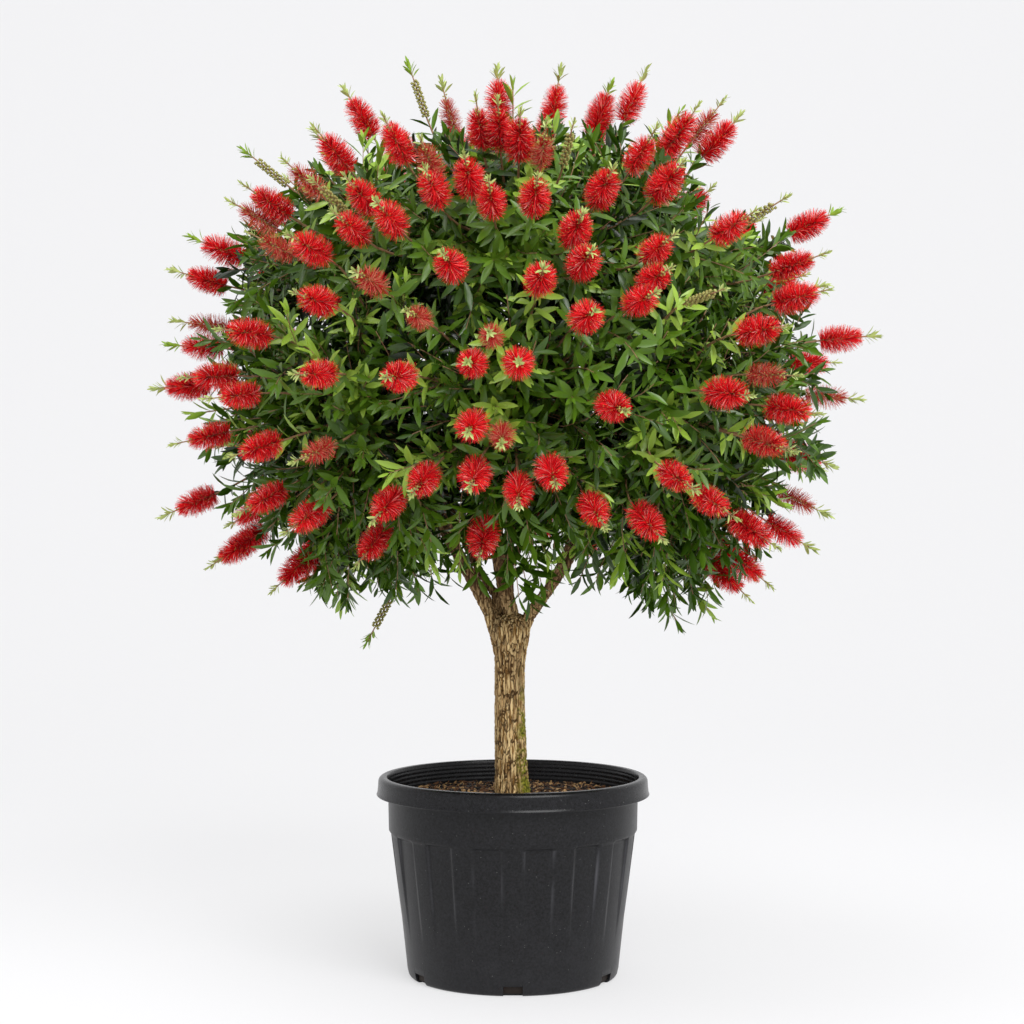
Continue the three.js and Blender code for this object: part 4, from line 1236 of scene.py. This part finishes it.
# %% Brush shape
THREADS = (1700, 1500, 1300, 1050)  # one number for each kind
FADED_THREADS, FADED_SHARE = 560, 0.86  # a fading brush's number, and length over a fresh one's
THREAD_WIDTHS = (1.05, 0.4)  # at the root and the tip
THREAD_LENGTH = 23.5
BRUSH_SPAN = (5, 65)  # heights of the lowest and highest threads over the brush's foot
AXIS_RADIUS = 2.6
THREAD_LEAN, TOP_LEAN, FOOT_LEAN = 14, 52, 16  # degrees up, more at the top, less at the foot
ANTHER_SHARE = 0.55
BRUSH_SEED = 505
THREAD_REDS = {"crimson_thread": "#EC0C1E", "scarlet_thread": "#FC3C3C"}
THREAD_REDS |= {"deep_red_thread": "#8E0610", "pale_thread": "#FCA8A0"}
FADED_REDS = {"faded_thread": "#B81C20", "bleached_thread": "#CF7A60"}
THREAD_SHARES = (0.42, 0.28, 0.22, 0.08)


def brush(seed, threads, length):
    """One brush upright on the origin, in millimetres: points, faces, the faces' colours and the anthers."""
    rng = np.random.default_rng(seed)
    share = (np.arange(threads) + 0.5) / threads
    height = BRUSH_SPAN[0] + (BRUSH_SPAN[1] - BRUSH_SPAN[0]) * share
    turn = GOLDEN_ANGLE * np.arange(threads) + rng.normal(0, 0.2, threads)
    lean = THREAD_LEAN + TOP_LEAN * smooth_step(0.62, 1, share)
    lean = np.radians(lean - FOOT_LEAN * (1 - smooth_step(0, 0.22, share))) + rng.normal(0, 0.13, threads)
    shorter = 1 - 0.26 * (1 - smooth_step(0, 0.16, share)) - 0.2 * smooth_step(0.8, 1, share)
    reach_out = length * shorter * rng.uniform(0.76, 1.12, threads)
    way = round_about(np.cos(lean), turn, np.sin(lean))
    root = round_about(AXIS_RADIUS, turn, height)
    tip = root + unit(way + rng.normal(0, 0.06, way.shape)) * reach_out[:, None]
    flat = unit(np.cross(way, unit(rng.normal(0, 1, way.shape))))
    ends = zip((root, tip), THREAD_WIDTHS)
    points = np.stack([end + sign * width / 2 * flat for end, width in ends for sign in (-1, 1)], axis=1)
    faces = copied([[0, 1, 3, 2]], 4, threads)
    colour = rng.choice(len(THREAD_SHARES), threads, p=THREAD_SHARES)
    anthers = tip[rng.random(threads) < ANTHER_SHARE]
    return points.reshape(-1, 3), faces.reshape(-1, 4), colour, anthers


def placed(shape, shoots, turns, sizes=1.0):
    """Copies of a shape's points, stood on the feet of leading shoots and turned to their headings."""
    turned = np.einsum("pi,sij->spj", shape, rotations(lead_way[shoots], turns))
    return lead_foot[shoots][:, None] + turned * np.broadcast_to(sizes, len(shoots))[:, None, None]


# A capsule has eight faces and a grain of pollen four.
BEAD = np.array([[1, 0, 0], [-1, 0, 0], [0, 1, 0], [0, -1, 0], [0, 0, 1], [0, 0, -1]], float)
BEAD_FACES = [[0, 2, 4], [2, 1, 4], [1, 3, 4], [3, 0, 4], [2, 0, 5], [1, 2, 5], [3, 1, 5], [0, 3, 5]]
GRAIN = np.array([[1, 1, 1], [-1, -1, 1], [-1, 1, -1], [1, -1, -1]], float) * 0.75
GRAIN_FACES = [[0, 2, 1], [0, 1, 3], [0, 3, 2], [1, 2, 3]]


def beads(centres, size, shape=BEAD, faces=BEAD_FACES):
    """Small faceted grains, one at each centre."""
    centres = centres.reshape(-1, 1, 3)
    return centres + shape * size, copied(faces, len(shape), len(centres))


# %% Flowers
POLLEN_SIZE, POLLEN_SHARE = 0.7, 0.12  # most anthers are too small to show


def make_brushes(name, chosen, shapes, materials, rng):
    """Deals brush shapes to the chosen shoots, and returns the places of their anthers."""
    pieces, colours, grains = [], [], []
    shape_of = rng.integers(0, len(shapes), len(chosen))
    for k, (points, faces, colour, anthers) in enumerate(shapes):
        these = chosen[shape_of == k]
        turns = rng.uniform(0, 2 * math.pi, len(these))
        sizes = rng.uniform(0.93, 1.08, len(these))
        pieces.append((placed(points, these, turns, sizes), copied(faces, len(points), len(these))))
        colours.append(np.tile(colour % len(materials), len(these)))
        grains.append(placed(anthers, these, turns, sizes).reshape(-1, 3))
    foliage_piece(name, *joined(pieces), materials, np.concatenate(colours), False)
    return np.concatenate(grains)


def make_flowers():
    """Threads are smooth living stalks in a few reds, some brown with age, and pollen is a matt powder."""
    rng = np.random.default_rng(BRUSH_SEED)
    reds, faded_reds = (
        [new_material(name, Base_Color=colour, Roughness=0.6, IOR=1.3) for name, colour in family.items()]
        for family in (THREAD_REDS, FADED_REDS)
    )
    fresh = [brush(BRUSH_SEED + k, threads, THREAD_LENGTH) for k, threads in enumerate(THREADS)]
    faded = [brush(BRUSH_SEED + 9 + k, FADED_THREADS, FADED_SHARE * THREAD_LENGTH) for k in range(2)]
    blooming, fading = np.flatnonzero(lead_kind == BLOOM), np.flatnonzero(lead_kind == FADING)
    half = len(blooming) // 2
    grains = [
        make_brushes("brushes_1", blooming[:half], fresh, reds, rng),
        make_brushes("brushes_2", blooming[half:], fresh, reds, rng),
        make_brushes("fading_brushes", fading, faded, faded_reds, rng),
    ]
    grains = np.concatenate(grains)
    grains = grains[rng.random(len(grains)) < POLLEN_SHARE]
    pollen = new_material("pollen", Base_Color="#C9A25A", Roughness=0.8)
    foliage_piece("anthers", *joined([beads(grains, POLLEN_SIZE, GRAIN, GRAIN_FACES)]), [pollen])


# %% Capsules and calyces
CAPSULES, CAPSULE_RADIUS, CAPSULE_OUT, CAPSULE_FOOT = 52, 3.3, 5.6, 6
CALYCES, CALYX_RADIUS, CALYX_OUT, CALYX_FOOT, CALYX_PITCH = 34, 2.1, 3.4, 10, 2.1
CAPSULE_SEED = 535


def make_capsules():
    """Seed capsules in close spirals round the spent twigs, and the green calyces under the threads."""
    rng = np.random.default_rng(CAPSULE_SEED)
    i = np.arange(CAPSULES)
    height = CAPSULE_FOOT + (BRUSH_LENGTH - 14) * (i + 0.5) / CAPSULES
    rows = round_about(CAPSULE_OUT, GOLDEN_ANGLE * i, height)
    spent = np.flatnonzero(lead_kind == SPENT)
    capsules = beads(placed(rows, spent, rng.uniform(0, 2 * math.pi, len(spent))), CAPSULE_RADIUS)
    # The calyces show as the brush's pale axis.
    i = np.arange(CALYCES)
    rows = round_about(CALYX_OUT, GOLDEN_ANGLE * i, CALYX_FOOT + CALYX_PITCH * i)
    open_now = np.flatnonzero((lead_kind == BLOOM) | (lead_kind == FADING))
    calyces = beads(placed(rows, open_now, rng.uniform(0, 2 * math.pi, len(open_now))), CALYX_RADIUS)
    woody = new_material("woody_seed_capsule", Base_Color="#96914E", Roughness=0.7)
    green = new_material("green_calyx", Base_Color="#A9A653", Roughness=0.6)
    dealt = np.repeat([0, 1], [capsules[1].size // 3, calyces[1].size // 3])
    foliage_piece("capsules", *joined([capsules, calyces]), [woody, green], dealt)


make_flowers()
make_capsules()
